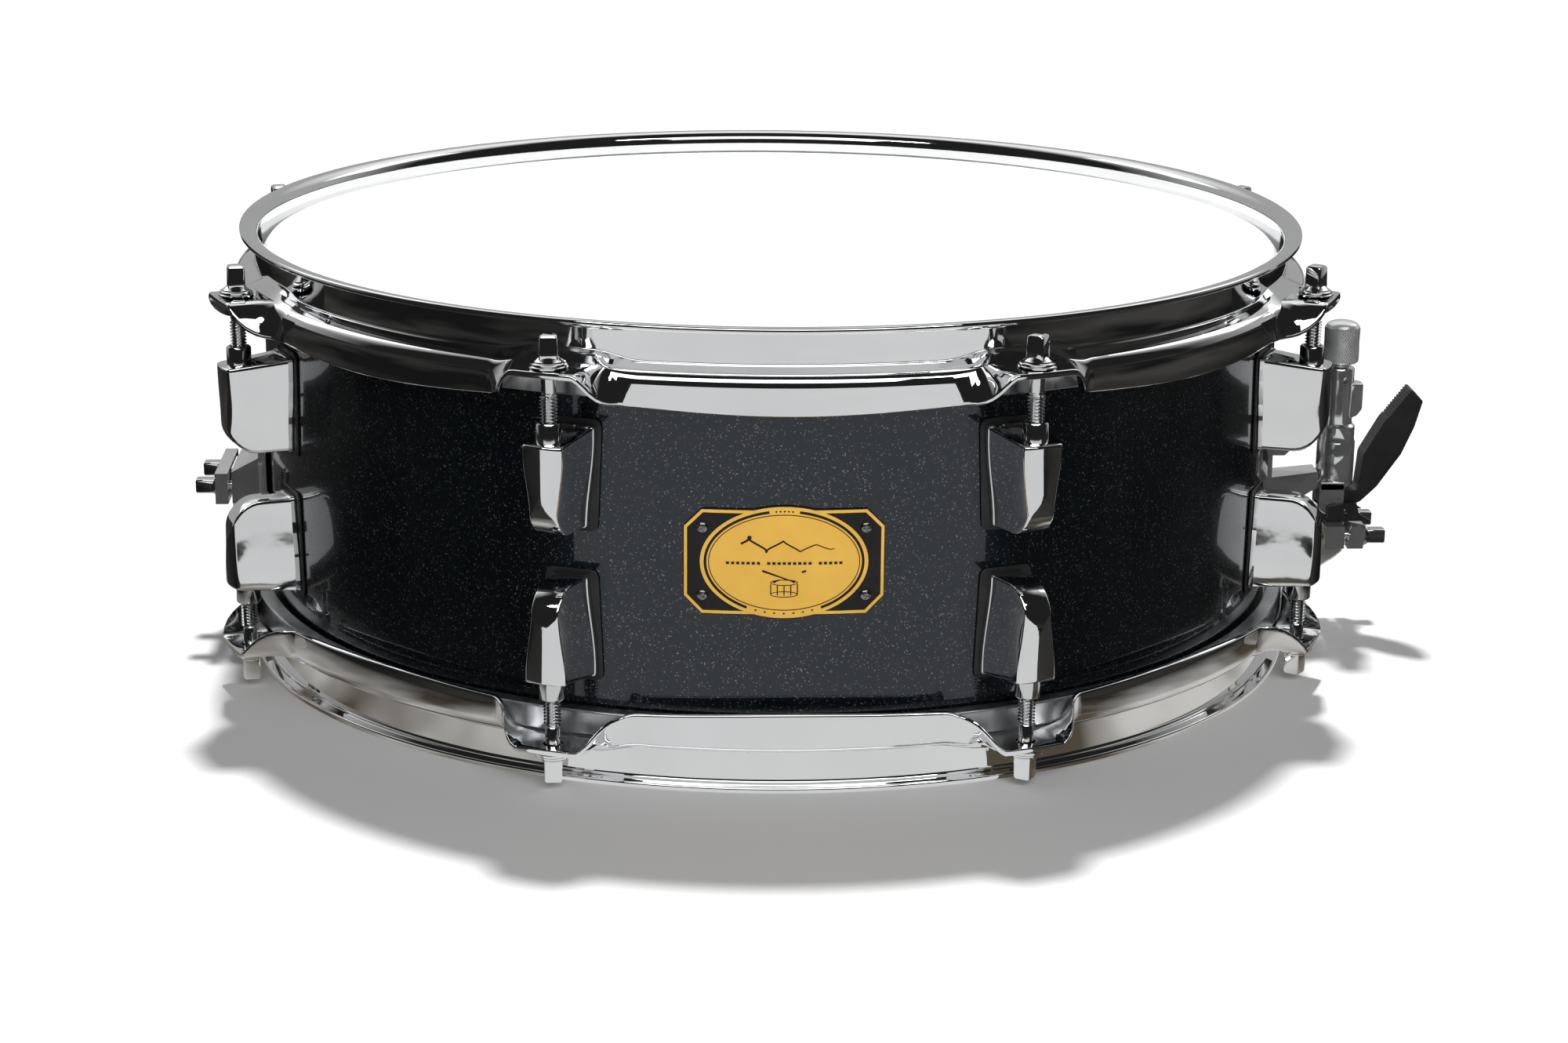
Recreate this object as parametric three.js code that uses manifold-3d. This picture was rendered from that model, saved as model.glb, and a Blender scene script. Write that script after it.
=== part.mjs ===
// A 14 inch snare drum. Millimetres, +Z up, built about the drum's axis with z = 0 half way up the shell.
// The last lines move it so that the origin is under the middle of the whole drum, on the floor.
// Around the drum, an angle of 0 degrees is the front (-Y) and 90 degrees is the strainer's side (+X).

import * as THREE from "three";
import { ConvexGeometry } from "three/addons/geometries/ConvexGeometry.js";
import { mergeVertices } from "three/addons/utils/BufferGeometryUtils.js";
import Module from "manifold-3d";

const wasm = await Module();
wasm.setup();

// Clearances
const touchGap = 0.3; // between pieces that touch on the real drum
const runGap = 0.45; // between a screw and the hole it turns in

// Shell and its wrap
const wrapRadius = 177.8; // outside of the finished shell, 14 inches across
const wrapThickness = 0.6;
const wrapMargin = 10.5; // bare shell left under each head's collar
const shellThickness = 6.5;
const shellDepth = 133; // from bearing edge to bearing edge
const edgeFlat = 1.2; // how far the bearing edge's peak lies in from the outside
const edgeRound = 1.4; // height of the roundover outside the peak
const edgeBevel = 4.6; // height of the bevel inside the peak
const bedDepth = 1.6; // snare beds, where the snare-side edge dips
const bedHalfWidth = 45;
const bedRamp = 22;
const ventRadius = 6.4;
const ventAngle = 180;

// Heads
const batterFilm = 0.25;
const snareSideFilm = 0.1;
const fleshClearance = 1.5; // between the wrap and the flesh hoop
const fleshWidth = 5.3;
const fleshHeight = 8.2;
const fleshDrop = 7.6; // from the bearing edge to the top of the flesh hoop
const hemOverlap = 4; // how far the film goes down behind the flesh hoop

// Counter hoops, triple flanged
const sheet = 2;
const wallOverhang = 0.6; // the wall's inside, in from the flesh hoop's
const hoopRise = 8.1; // lip above the bearing edge
const lipReach = 4.7; // lip outwards from the wall
const shoulderDrop = 9.4; // from the lip to the top of the shoulder
const shoulderHeight = 3.6;
const skirtClearance = 0.9; // between the flesh hoop and the skirt
const skirtDepth = 9.5; // straight skirt under the shoulder, beside an ear
const skirtSwell = 2.2; // extra skirt half way between two ears
const earMargin = 6.7; // ear past the rod's centre
const earHalfAngle = 3.1;
const earBendAngle = 3.6; // over which the ear turns down into the skirt
const gateHalfWidth = 22;
const gateMargin = 6; // gate above the deepest skirt

// Tension rods and lugs
const positions = 8;
const firstAngle = 22.5;
const rodOffset = 16.7; // rods from the wrap
const rodRadius = 2.75;
const rodHeadWidth = 6;
const rodHeadTop = 2.9; // below the lip
const washerWidth = 3.25; // washer past the rod
const washerHeight = 2.4; // washer and the rod's own collar
const rodEngagement = 26; // rod inside the swivel nut and the lug
const boreMargin = 2; // bore past the rod's end
const lugInner = 7.3; // from the middle of the shell to the near end
const lugMargin = 25.5; // from the bearing edge to the far end
const lugBaseWidth = 20;
const lugBaseThickness = 2.5;
const lugNoseWall = 6.8; // nose past the rod's centre
const lugNoseWidth = 13.6;
const lugNoseTaper = 1.6;
const lugNoseDrop = 2.6; // the nose's end face, in from the base's end
const nutWall = 1.35; // swivel nut past the rod
const nutRise = 6.1;

// Badge
const badgeWidth = 63;
const badgeHeight = 34;
const badgeCorner = 5.7;
const ovalWidth = 52.8;
const ovalHeight = 36.4;
const badgeThickness = 0.8;

// Strainer, on the +X side
const strainerOffset = 27.5; // column from the wrap
const bodyTop = 19.6;
const bodyBottom = -24;
const bodyUpperRadius = 5.2;
const bodyRingRadius = 6.4;
const bodyLowerRadius = 6.8;
const ringTop = -1.4;
const ringBottom = -7.4;
const adjusterRadius = 2;
const adjusterMargin = 5.9; // adjuster's end above the column's foot
const knobRadius = 6.5;
const knobHeight = 13;
const knobDome = 2.5;
const knobNeckRadius = 3.4;
const knobNeckHeight = 1.5;
const catchOut = 8.3; // from the column's axis
const catchTop = 14;
const catchBottom = 4.4;
const catchWidth = 8;
const bracketWidth = 24;
const bracketTop = 20;
const bracketBottom = -34;
const bracketPlate = 2.6;
const armWidth = 13;
const upperArmFoot = -11.6; // heights of the two arms at the plate and at the column
const upperArmSpan = [2, 10];
const lowerArmRoot = [-30, -20];
const lowerArmWaist = [-27.7, -21.8];
const lowerArmSpan = [-24, -18];
const armWaist = 13.7; // out from the wrap to the lower arm's thinnest place
const pivotInset = 1.5; // pin from the column's axis, towards the shell
const pivotHeight = -30;
const pinRadius = 1.5;
const leverWidth = 10;
const cheekThickness = 1.8;
const cheekGap = 0.4;

// Snare clamps. The strainer's clamp moves; the butt's is fixed to the shell.
const adjusterTravel = 2; // how far the knob lowers the clamp
const clampWidth = 32;
const clampHeight = 8.2;
const clampTop = -35.7;
const clampInset = 5.3; // block's back from the column's axis, towards the shell
const clampBlockThickness = 7.2;
const clampJawThickness = 5.6;
const clampScrewHalfSpacing = 12;
const clampScrewRadius = 1.6;
const clampScrewHead = 5;
const clampScrewHeadLength = 7;
const strapThickness = 0.5;
const strapHalfWidth = 8.8;
const strapClearance = 0.35;
const buttTop = -8;
const buttBottom = -31;
const buttClampTop = -14.5;
const buttClampHeight = 11.1;
const buttOffset = 18.8; // jaw's face from the wrap
const buttJawThickness = 4.5;
const buttWidth = 36;

// Snare wires
const wireCount = 20;
const wireRadius = 0.95;
const wireSpacing = 2.2;
const wireMargin = 27.8; // wires' ends in from the wrap
const wireGap = 0.45; // under the snare-side film
const endPlateLength = 12;
const endPlateThickness = 1.2;

// Facets
const ringSegments = 64;
const rodSegments = 8;

const halfDepth = shellDepth / 2;
const lipTop = halfDepth + hoopRise;
const shellRadius = wrapRadius - wrapThickness - touchGap;
const seatRadius = wrapRadius + touchGap; // flat backs of what is screwed to the shell
const fleshInner = wrapRadius + fleshClearance;
const fleshOuter = fleshInner + fleshWidth;
const hoopWallRadius = fleshInner - wallOverhang + sheet; // outside of the upright wall
const skirtRadius = fleshOuter + skirtClearance + sheet;
const rodCircle = wrapRadius + rodOffset;
const earReach = rodCircle + earMargin;
const shoulderTop = lipTop - shoulderDrop;
const earTop = shoulderTop - shoulderHeight - 0.4;
const washerBottom = earTop + touchGap;
const lugTop = halfDepth - lugMargin;
const noseTop = lugTop - lugNoseDrop;
const rodBottom = noseTop + nutRise - rodEngagement;
const strainerAxis = wrapRadius + strainerOffset;
const pivotOut = strainerAxis - pivotInset;
const clampBlockIn = strainerAxis - clampInset;
const clampBlockOut = clampBlockIn + clampBlockThickness;
const buttClampOut = wrapRadius + buttOffset;
const wireHalfLength = wrapRadius - wireMargin;

const finishes = {
  wood: { color: 0xb98b57, roughness: 0.6, metalness: 0 },
  sparkle: { color: 0x14181c, roughness: 0.2, metalness: 0.3 },
  chrome: { color: 0xd8dadc, roughness: 0.08, metalness: 1 },
  film: { color: 0xf4f4f2, roughness: 0.6, metalness: 0 },
  clearFilm: { color: 0xdfe3e4, roughness: 0.3, metalness: 0 },
  aluminium: { color: 0xb9bcbe, roughness: 0.35, metalness: 1 },
  blackMetal: { color: 0x222325, roughness: 0.45, metalness: 0.4 },
  badge: { color: 0xe9b640, roughness: 0.4, metalness: 0.1 },
  steel: { color: 0xb4b6b8, roughness: 0.3, metalness: 1 },
  strap: { color: 0xe6e6e0, roughness: 0.5, metalness: 0 },
};

const drum = new THREE.Group();

function addPart(name, geometry, finish, parent = drum) {
  const mesh = new THREE.Mesh(geometry, new THREE.MeshStandardMaterial(finishes[finish]));
  mesh.name = name;
  parent.add(mesh);
  return mesh;
}

// A closed geometry as a solid that can be cut and joined.
function solidOf(geometry) {
  const bare = geometry.index ? geometry.toNonIndexed() : geometry.clone();
  bare.deleteAttribute("normal");
  bare.deleteAttribute("uv");
  const merged = mergeVertices(bare, 1e-4);
  const mesh = new wasm.Mesh({
    numProp: 3,
    vertProperties: merged.attributes.position.array,
    triVerts: new Uint32Array(merged.index.array),
  });
  return new wasm.Manifold(mesh);
}

function geometryOf(solid) {
  const mesh = solid.getMesh();
  const geometry = new THREE.BufferGeometry();
  geometry.setAttribute("position", new THREE.BufferAttribute(mesh.vertProperties, 3));
  geometry.setIndex(new THREE.BufferAttribute(mesh.triVerts, 1));
  return geometry;
}

function join(...geometries) {
  const solids = geometries.map(solidOf);
  return geometryOf(solids.reduce((whole, next) => whole.add(next)));
}

function cut(geometry, ...tools) {
  const solids = tools.map(solidOf);
  return geometryOf(solids.reduce((whole, next) => whole.subtract(next), solidOf(geometry)));
}

// Turns a profile of [radius, z] points, anticlockwise, about the Z axis.
function turned(profile, segments = ringSegments) {
  const points = profile.map(([radius, z]) => new THREE.Vector2(radius, z));
  return new THREE.LatheGeometry(points, segments).rotateX(Math.PI / 2);
}

function turnedRing(profile, segments = ringSegments) {
  return turned([...profile, profile[0]], segments);
}

function box([x0, x1], [y0, y1], [z0, z1]) {
  const geometry = new THREE.BoxGeometry(x1 - x0, y1 - y0, z1 - z0);
  return geometry.translate((x0 + x1) / 2, (y0 + y1) / 2, (z0 + z1) / 2);
}

// An upright rod or hole of a regular section, centred at x, y.
function post(radius, [z0, z1], x = 0, y = 0, segments = rodSegments) {
  const geometry = new THREE.CylinderGeometry(radius, radius, z1 - z0, segments);
  return geometry.rotateX(Math.PI / 2).translate(x, y, (z0 + z1) / 2);
}

// A rod or hole along X.
function bar(radius, [x0, x1], y, z, segments = rodSegments) {
  const geometry = new THREE.CylinderGeometry(radius, radius, x1 - x0, segments);
  return geometry.rotateZ(Math.PI / 2).translate((x0 + x1) / 2, y, z);
}

// A rod or hole along Y.
function crossBar(radius, [y0, y1], x, z, segments = rodSegments) {
  return new THREE.CylinderGeometry(radius, radius, y1 - y0, segments).translate(x, (y0 + y1) / 2, z);
}

// A plate with an outline of [x, z] points, standing from y0 to y1.
function sidePlate(outline, [y0, y1]) {
  const shape = new THREE.Shape(outline.map(([x, z]) => new THREE.Vector2(x, z)));
  const geometry = new THREE.ExtrudeGeometry(shape, { depth: y1 - y0, bevelEnabled: false });
  return geometry.rotateX(Math.PI / 2).translate(0, y1, 0);
}

function hull(points) {
  return new ConvexGeometry(points.map(([x, y, z]) => new THREE.Vector3(x, y, z)));
}

// Both mirror images of points given on one side of the plane y = 0.
function bothSides(points) {
  return points.flatMap(([x, y, z]) => [[x, y, z], [x, -y, z]]);
}

// A group turned so that its +X points out of the drum at an angle, and upside down for the snare side.
function station(angle, side) {
  const turn = new THREE.Group();
  turn.rotation.z = THREE.MathUtils.degToRad(angle - 90);
  turn.scale.z = side;
  drum.add(turn);
  return turn;
}

function flipped(side) {
  const group = new THREE.Group();
  group.scale.z = side;
  drum.add(group);
  return group;
}

// Shell: a plywood ring with bearing edges, snare beds and a vent hole.
function makeShell() {
  const inner = shellRadius - shellThickness;
  const peak = shellRadius - edgeFlat;
  const half = [
    [shellRadius, halfDepth - edgeRound],
    [peak, halfDepth],
    [peak - 0.5, halfDepth],
    [inner, halfDepth - edgeBevel],
  ];
  const lower = half.map(([radius, z]) => [radius, -z]).reverse();
  const ring = turnedRing([...lower, ...half]);
  const bed = [
    [-bedHalfWidth - bedRamp, -halfDepth - 1],
    [bedHalfWidth + bedRamp, -halfDepth - 1],
    [bedHalfWidth, -halfDepth + bedDepth],
    [-bedHalfWidth, -halfDepth + bedDepth],
  ];
  const beds = sidePlate(bed, [-shellRadius - 1, shellRadius + 1]).rotateZ(Math.PI / 2);
  addPart("shell", cut(ring, beds, ventHole()), "wood");
}

function ventHole() {
  const hole = bar(ventRadius, [wrapRadius - 20, wrapRadius + 20], 0, 0, 16);
  return hole.rotateZ(THREE.MathUtils.degToRad(ventAngle - 90));
}

function makeWrap() {
  const reach = halfDepth - wrapMargin;
  const ring = turnedRing([
    [wrapRadius - wrapThickness, -reach],
    [wrapRadius, -reach],
    [wrapRadius, reach],
    [wrapRadius - wrapThickness, reach],
  ]);
  addPart("shell_wrap", cut(ring, ventHole()), "sparkle");
}

function makeVentGrommet() {
  const outer = ventRadius - touchGap;
  const ring = turnedRing([
    [outer - 1.2, -9],
    [outer, -9],
    [outer, 0],
    [outer + 2.4, 0],
    [outer + 2, 1.2],
    [outer - 1.2, 1.6],
  ], 16);
  ring.rotateY(Math.PI / 2).translate(seatRadius + 0.2, 0, 0);
  addPart("vent_grommet", ring, "chrome", station(ventAngle, 1));
}

function makeBadge() {
  const w = badgeWidth / 2;
  const h = badgeHeight / 2;
  const c = badgeCorner;
  const right = [[w - c, -h], [w, -h + c], [w, h - c], [w - c, h]];
  const left = right.map(([x, z]) => [-x, z]).reverse();
  const octagon = [...right, ...left];
  const oval = new THREE.EllipseCurve(0, 0, ovalWidth / 2, ovalHeight / 2).getPoints(24).slice(0, -1);
  const reach = [-wrapRadius - 20, -wrapRadius + 20];
  const stamp = join(sidePlate(octagon, reach), sidePlate(oval.map((p) => [p.x, p.y]), reach));
  const skin = turnedRing([
    [seatRadius, -ovalHeight],
    [seatRadius + badgeThickness, -ovalHeight],
    [seatRadius + badgeThickness, ovalHeight],
    [seatRadius, ovalHeight],
  ]);
  addPart("badge", geometryOf(solidOf(skin).intersect(solidOf(stamp))), "badge");
}

// A head's film: flat, over the bearing edge, and down behind the flesh hoop.
function makeHead(name, film, finish, side) {
  const under = halfDepth + touchGap;
  const collar = shellRadius + 0.35;
  const fleshTop = halfDepth - fleshDrop;
  const inside = [
    [shellRadius - edgeFlat, under],
    [collar, halfDepth - edgeRound],
    [collar, fleshTop + 0.8],
    [fleshInner - 1.2, fleshTop - 0.4],
    [fleshInner - 1.2, fleshTop - hemOverlap],
  ];
  const outside = [
    [inside[4][0] + film, inside[4][1]],
    [inside[3][0] + film, inside[3][1] + film / 2],
    [inside[2][0] + film, inside[2][1] + film / 2],
    [inside[1][0] + film, inside[1][1] + film / 2],
    [inside[0][0] + film / 2, under + film],
  ];
  const profile = [[0, under], ...inside, ...outside, [0, under + film]];
  addPart(name, turned(profile), finish, flipped(side));
}

function makeFleshHoop(name, side) {
  const top = halfDepth - fleshDrop;
  const profile = [
    [fleshInner, top - fleshHeight],
    [fleshOuter, top - fleshHeight],
    [fleshOuter, top],
    [fleshInner, top],
  ];
  addPart(name, turnedRing(profile), "aluminium", flipped(side));
}

// The hoop's section at one angle. ear is 1 at a tension rod's ear and 0 where the skirt hangs down.
function hoopSection(ear, swell) {
  const wallInner = hoopWallRadius - sheet;
  const bend = (Math.PI / 2) * (1 - ear);
  const pivotR = skirtRadius - sheet;
  const pivotZ = earTop - sheet;
  const straight = skirtDepth + skirtSwell * swell;
  const length = THREE.MathUtils.lerp(straight, earReach - pivotR, ear);
  const along = [Math.cos(bend), -Math.sin(bend)];
  const out = [Math.sin(bend), Math.cos(bend)];
  const tip = [pivotR + along[0] * length, pivotZ + along[1] * length];
  return [
    [wallInner, lipTop],
    [wallInner, shoulderTop - 1.2],
    [pivotR - 2.4, pivotZ + 0.9],
    [pivotR, pivotZ],
    tip,
    [tip[0] + out[0] * sheet, tip[1] + out[1] * sheet],
    [pivotR + out[0] * sheet + 0.4 * ear, pivotZ + out[1] * sheet + 0.8 * (1 - ear)],
    [hoopWallRadius + 2.2, shoulderTop - 1.5],
    [hoopWallRadius, shoulderTop],
    [hoopWallRadius, lipTop - sheet],
    [hoopWallRadius + lipReach, lipTop - sheet],
    [hoopWallRadius + lipReach, lipTop],
  ];
}

// Closed skin through a ring of closed sections, each a list of [radius, z] at its own angle.
function skinAround(sections) {
  const around = sections.length;
  const count = sections[0].profile.length;
  const positionsOut = [];
  const faces = [];
  sections.forEach(({ angle, profile }, i) => {
    const turn = THREE.MathUtils.degToRad(angle);
    for (const [radius, z] of profile) {
      positionsOut.push(radius * Math.sin(turn), -radius * Math.cos(turn), z);
    }
    const next = ((i + 1) % around) * count;
    for (let j = 0; j < count; j += 1) {
      const k = (j + 1) % count;
      faces.push(i * count + j, next + k, i * count + k);
      faces.push(i * count + j, next + j, next + k);
    }
  });
  const geometry = new THREE.BufferGeometry();
  geometry.setAttribute("position", new THREE.Float32BufferAttribute(positionsOut, 3));
  geometry.setIndex(faces);
  return geometry;
}

function makeHoop(name, side) {
  const bay = 360 / positions;
  const steps = [
    [earHalfAngle, 1],
    [earHalfAngle + earBendAngle * 0.5, 0.5],
    [earHalfAngle + earBendAngle, 0],
    [earHalfAngle + earBendAngle + 7.5, 0],
  ];
  const offsets = [...steps.map(([a, e]) => [-a, e]).reverse(), ...steps, [bay / 2, 0]];
  const sections = [];
  for (let n = 0; n < positions; n += 1) {
    for (const [offset, ear] of offsets) {
      const swell = Math.sin((Math.PI * Math.abs(offset)) / bay) ** 2;
      sections.push({ angle: firstAngle + n * bay + offset, profile: hoopSection(ear, swell) });
    }
  }
  const holes = [];
  for (let n = 0; n < positions; n += 1) {
    const turn = THREE.MathUtils.degToRad(firstAngle + n * bay - 90);
    holes.push(post(rodRadius + runGap, [earTop - 2 * sheet, earTop + 1], rodCircle).rotateZ(turn));
  }
  if (side < 0) {
    const gate = [earTop - sheet - skirtDepth - skirtSwell - gateMargin, lipTop - sheet - touchGap / 3];
    for (const x of [-1, 1]) {
      const reach = [x * (hoopWallRadius - 12), x * (skirtRadius + gateMargin)].sort((a, b) => a - b);
      holes.push(box(reach, [-gateHalfWidth, gateHalfWidth], gate));
    }
  }
  addPart(name, cut(skinAround(sections), ...holes), "chrome", flipped(side));
}

// One lug with its gasket and swivel nut. The rod's bore is open at the top.
function makeLug(name, angle, side) {
  const back = seatRadius;
  const nose = rodCircle + lugNoseWall;
  const face = back + lugBaseThickness;
  const halfBase = lugBaseWidth / 2;
  const halfNose = lugNoseWidth / 2;
  const base = hull(bothSides([
    [back, halfBase, lugTop],
    [back, halfBase - 1.6, lugInner],
    [face, halfBase - 0.6, lugTop - 0.6],
    [face, halfBase - 2.2, lugInner + 0.6],
  ]));
  const body = hull(bothSides([
    [face - 0.5, halfBase - 1.5, lugTop - 1],
    [face - 0.5, halfBase - 3, lugInner + 1],
    [nose, halfNose, noseTop],
    [nose, halfNose - lugNoseTaper, lugInner + 6],
    [nose - 8.5, halfNose - lugNoseTaper, lugInner + 0.6],
  ]));
  const nut = post(rodRadius + nutWall, [noseTop - 2, noseTop + nutRise], rodCircle, 0, 10);
  const bore = post(rodRadius + runGap, [rodBottom - boreMargin, noseTop + nutRise + 1], rodCircle);
  addPart(name, cut(join(base, body, nut), bore), "chrome", station(angle, side));
}

// One tension rod: square head, collar with its washer, shank and thread.
function makeRod(name, angle, side) {
  const collarTop = washerBottom + washerHeight;
  const headTop = lipTop - rodHeadTop;
  const stem = turned([
    [0, rodBottom],
    [rodRadius - 0.5, rodBottom],
    [rodRadius, rodBottom + 1],
    [rodRadius, washerBottom],
    [rodRadius + washerWidth, washerBottom],
    [rodRadius + washerWidth, collarTop],
    [0, collarTop],
  ], rodSegments);
  const half = rodHeadWidth / 2;
  const head = box([-half, half], [-half, half], [collarTop - 0.5, headTop]);
  const rod = join(stem, head).translate(rodCircle, 0, 0);
  addPart(name, rod, "chrome", station(angle, side));
}

// Plate on the shell with an upper and a lower arm out to the strainer's body.
function makeStrainerBracket() {
  const w = bracketWidth / 2;
  const a = armWidth / 2;
  const face = seatRadius + bracketPlate;
  const end = strainerAxis - bodyLowerRadius - touchGap;
  const upperEnd = strainerAxis - bodyUpperRadius - touchGap;
  const plate = hull(bothSides([
    [seatRadius, w, bracketTop],
    [seatRadius, w, bracketBottom],
    [face, w - 2, bracketTop - 2],
    [face, w - 2, bracketBottom + 2],
  ]));
  const upper = hull(bothSides([
    [face - 1, a, bracketTop - 5],
    [face - 1, a, upperArmFoot],
    [face + 5, a, upperArmFoot],
    [end, a - 2, upperArmSpan[0] - 1],
    [upperEnd, a - 2, upperArmSpan[0]],
    [upperEnd, a - 2, upperArmSpan[1]],
  ]));
  const lower = hull(bothSides([
    ...lowerArmRoot.map((z) => [face - 1, a, z]),
    ...lowerArmWaist.map((z) => [wrapRadius + armWaist, a, z]),
    ...lowerArmSpan.map((z) => [end, a - 1, z]),
  ]));
  addPart("strainer_bracket", join(plate, upper, lower), "chrome");
}

// Turned column, bored for the adjuster, with the lever's catch outside and an ear for the lever's pin.
function makeStrainerBody() {
  const bore = adjusterRadius + runGap;
  const column = turnedRing([
    [bore, bodyBottom],
    [bodyLowerRadius, bodyBottom],
    [bodyLowerRadius, ringBottom],
    [bodyRingRadius, ringBottom + 1],
    [bodyRingRadius, ringTop],
    [bodyUpperRadius, ringTop + 1.5],
    [bodyUpperRadius, bodyTop],
    [bore, bodyTop],
  ], 16).translate(strainerAxis, 0, 0);
  const half = catchWidth / 2;
  const guard = hull(bothSides([
    [strainerAxis + 4, half, catchTop],
    [strainerAxis + 4, half, catchBottom - 3],
    [strainerAxis + catchOut, half - 1.5, catchTop],
    [strainerAxis + catchOut, half - 1.5, catchBottom],
  ]));
  const earSide = [leverWidth / 2 + cheekGap, leverWidth / 2 + cheekGap + cheekThickness];
  const outline = [
    [pivotOut - 4.6, bodyBottom + 2],
    [pivotOut - 4.6, pivotHeight - 2],
    [pivotOut - 2.5, pivotHeight - 3.4],
    [pivotOut + 2.5, pivotHeight - 3.4],
    [pivotOut + 4.2, pivotHeight],
    [pivotOut + 4.2, bodyBottom + 2],
  ];
  const ears = [earSide, earSide.map((y) => -y).reverse()].map((y) => sidePlate(outline, y));
  const reach = leverWidth / 2 + cheekGap + cheekThickness;
  const yoke = box([pivotOut - 4.6, pivotOut + 4.2], [-reach, reach], [bodyBottom - 0.6, bodyBottom + 2.4]);
  const pinHole = crossBar(pinRadius + runGap, [-reach - 1, reach + 1], pivotOut, pivotHeight, 10);
  const adjusterHole = post(bore, [bodyBottom - 2, bodyBottom + 4], strainerAxis, 0, 16);
  const whole = join(column, guard, yoke, ...ears);
  addPart("strainer_body", cut(whole, pinHole, adjusterHole), "chrome");
}

function makeLeverPin() {
  const reach = leverWidth / 2 + cheekGap + cheekThickness + cheekGap / 4;
  addPart("lever_pin", crossBar(pinRadius, [-reach, reach], pivotOut, pivotHeight, 10), "steel");
}

// The throw-off lever: a bowed arm on the pin, widest near the pin and narrow at its tip.
function makeLever() {
  const outline = [
    [pivotOut - 2.6, pivotHeight - 2.6],
    [pivotOut + 2.6, pivotHeight - 2.6],
    [pivotOut + 10.6, pivotHeight + 0.8],
    [pivotOut + 16.3, pivotHeight + 6.4],
    [pivotOut + 20.5, pivotHeight + 12.6],
    [pivotOut + 24.5, pivotHeight + 18.5],
    [pivotOut + 28.7, pivotHeight + 28.6],
    [pivotOut + 31.2, pivotHeight + 38],
    [pivotOut + 26.9, pivotHeight + 42.6],
    [pivotOut + 17.4, pivotHeight + 30],
    [pivotOut + 10.7, pivotHeight + 18],
    [pivotOut + 9.6, pivotHeight + 5],
    [pivotOut + 4.6, pivotHeight + 4.6],
    [pivotOut - 2.6, pivotHeight + 3.6],
    [pivotOut - 3.6, pivotHeight],
  ];
  const half = leverWidth / 2;
  const arm = sidePlate(outline, [-half, half]);
  const hole = crossBar(pinRadius + runGap, [-half - 1, half + 1], pivotOut, pivotHeight, 10);
  addPart("throw_off_lever", cut(arm, hole), "blackMetal");
}

// The carriage that the lever lowers: two side cheeks, a window in each, and a bar over the clamp.
function makeCarriage() {
  const inside = leverWidth / 2 + 2 * cheekGap + cheekThickness;
  const outline = [
    [pivotOut - 2, clampTop + touchGap],
    [pivotOut + 14, clampTop + touchGap],
    [pivotOut + 9.5, clampTop + 3],
    [pivotOut + 8.4, clampTop + 7],
    [pivotOut + 5.6, clampTop + 7],
    [pivotOut - 2, clampTop + 5.6],
  ];
  const window = [
    [pivotOut + 4, clampTop + 1.2],
    [pivotOut + 6.6, clampTop + 1.2],
    [pivotOut + 4, clampTop + 5],
  ];
  const plates = [1, -1].map((y) => {
    const span = [y * inside, y * (inside + cheekThickness)].sort((a, b) => a - b);
    const hole = [span[0] - 1, span[1] + 1];
    return cut(sidePlate(outline, span), sidePlate(window, hole));
  });
  const reach = inside + cheekThickness;
  const under = clampTop + touchGap;
  const floor = box([pivotOut - 2, clampBlockOut], [-reach, reach], [under, under + 0.9]);
  addPart("strainer_carriage", join(floor, ...plates), "blackMetal");
}

function makeKnob() {
  const base = bodyTop + touchGap;
  const knobBottom = base + knobNeckHeight;
  const top = knobBottom + knobHeight;
  const profile = [
    [0, bodyBottom + adjusterMargin],
    [adjusterRadius, bodyBottom + adjusterMargin],
    [adjusterRadius, base],
    [knobNeckRadius, base],
    [knobNeckRadius, knobBottom],
    [knobRadius - 0.5, knobBottom],
    [knobRadius, knobBottom + 0.6],
    [knobRadius, top],
    [knobRadius * 0.6, top + knobDome * 0.75],
    [0, top + knobDome],
  ];
  addPart("snare_tension_knob", turned(profile, 16).translate(strainerAxis, 0, 0), "chrome");
}

// A drum-key screw with its square head outside, along +X from x.
function keyScrew(x, length, y, z) {
  const half = clampScrewHead / 2;
  const head = box([x, x + clampScrewHeadLength], [y - half, y + half], [z - half, z + half]);
  return join(bar(clampScrewRadius, [x - length, x + 1], y, z), head);
}

function makeSnareClamp() {
  const bottom = clampTop - clampHeight;
  const w = clampWidth / 2;
  const jawIn = clampBlockOut + 2 * strapClearance + strapThickness;
  const jawOut = jawIn + clampJawThickness;
  const middle = clampTop - clampHeight / 2;
  const block = box([clampBlockIn, clampBlockOut], [-w, w], [bottom, clampTop]);
  const jaw = hull(bothSides([
    [jawIn + 1.4, w, clampTop],
    [jawOut + 1, w, clampTop - 0.6],
    [jawOut, w, bottom],
    [jawIn, w, bottom],
    [jawIn, w, bottom + 2],
  ]));
  const spots = [clampScrewHalfSpacing, -clampScrewHalfSpacing];
  const reach = [clampBlockIn - 1, jawOut + 2];
  const holes = () => spots.map((y) => bar(clampScrewRadius + runGap, reach, y, middle));
  addPart("snare_clamp_block", cut(block, ...holes()), "chrome");
  addPart("snare_clamp_jaw", cut(jaw, ...holes()), "chrome");
  const headAt = jawOut + 1 + touchGap;
  spots.forEach((y, i) => {
    const screw = keyScrew(headAt, headAt - clampBlockIn - 0.5, y, middle);
    addPart(`snare_clamp_screw_${i + 1}`, screw, "chrome");
  });
}

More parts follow.
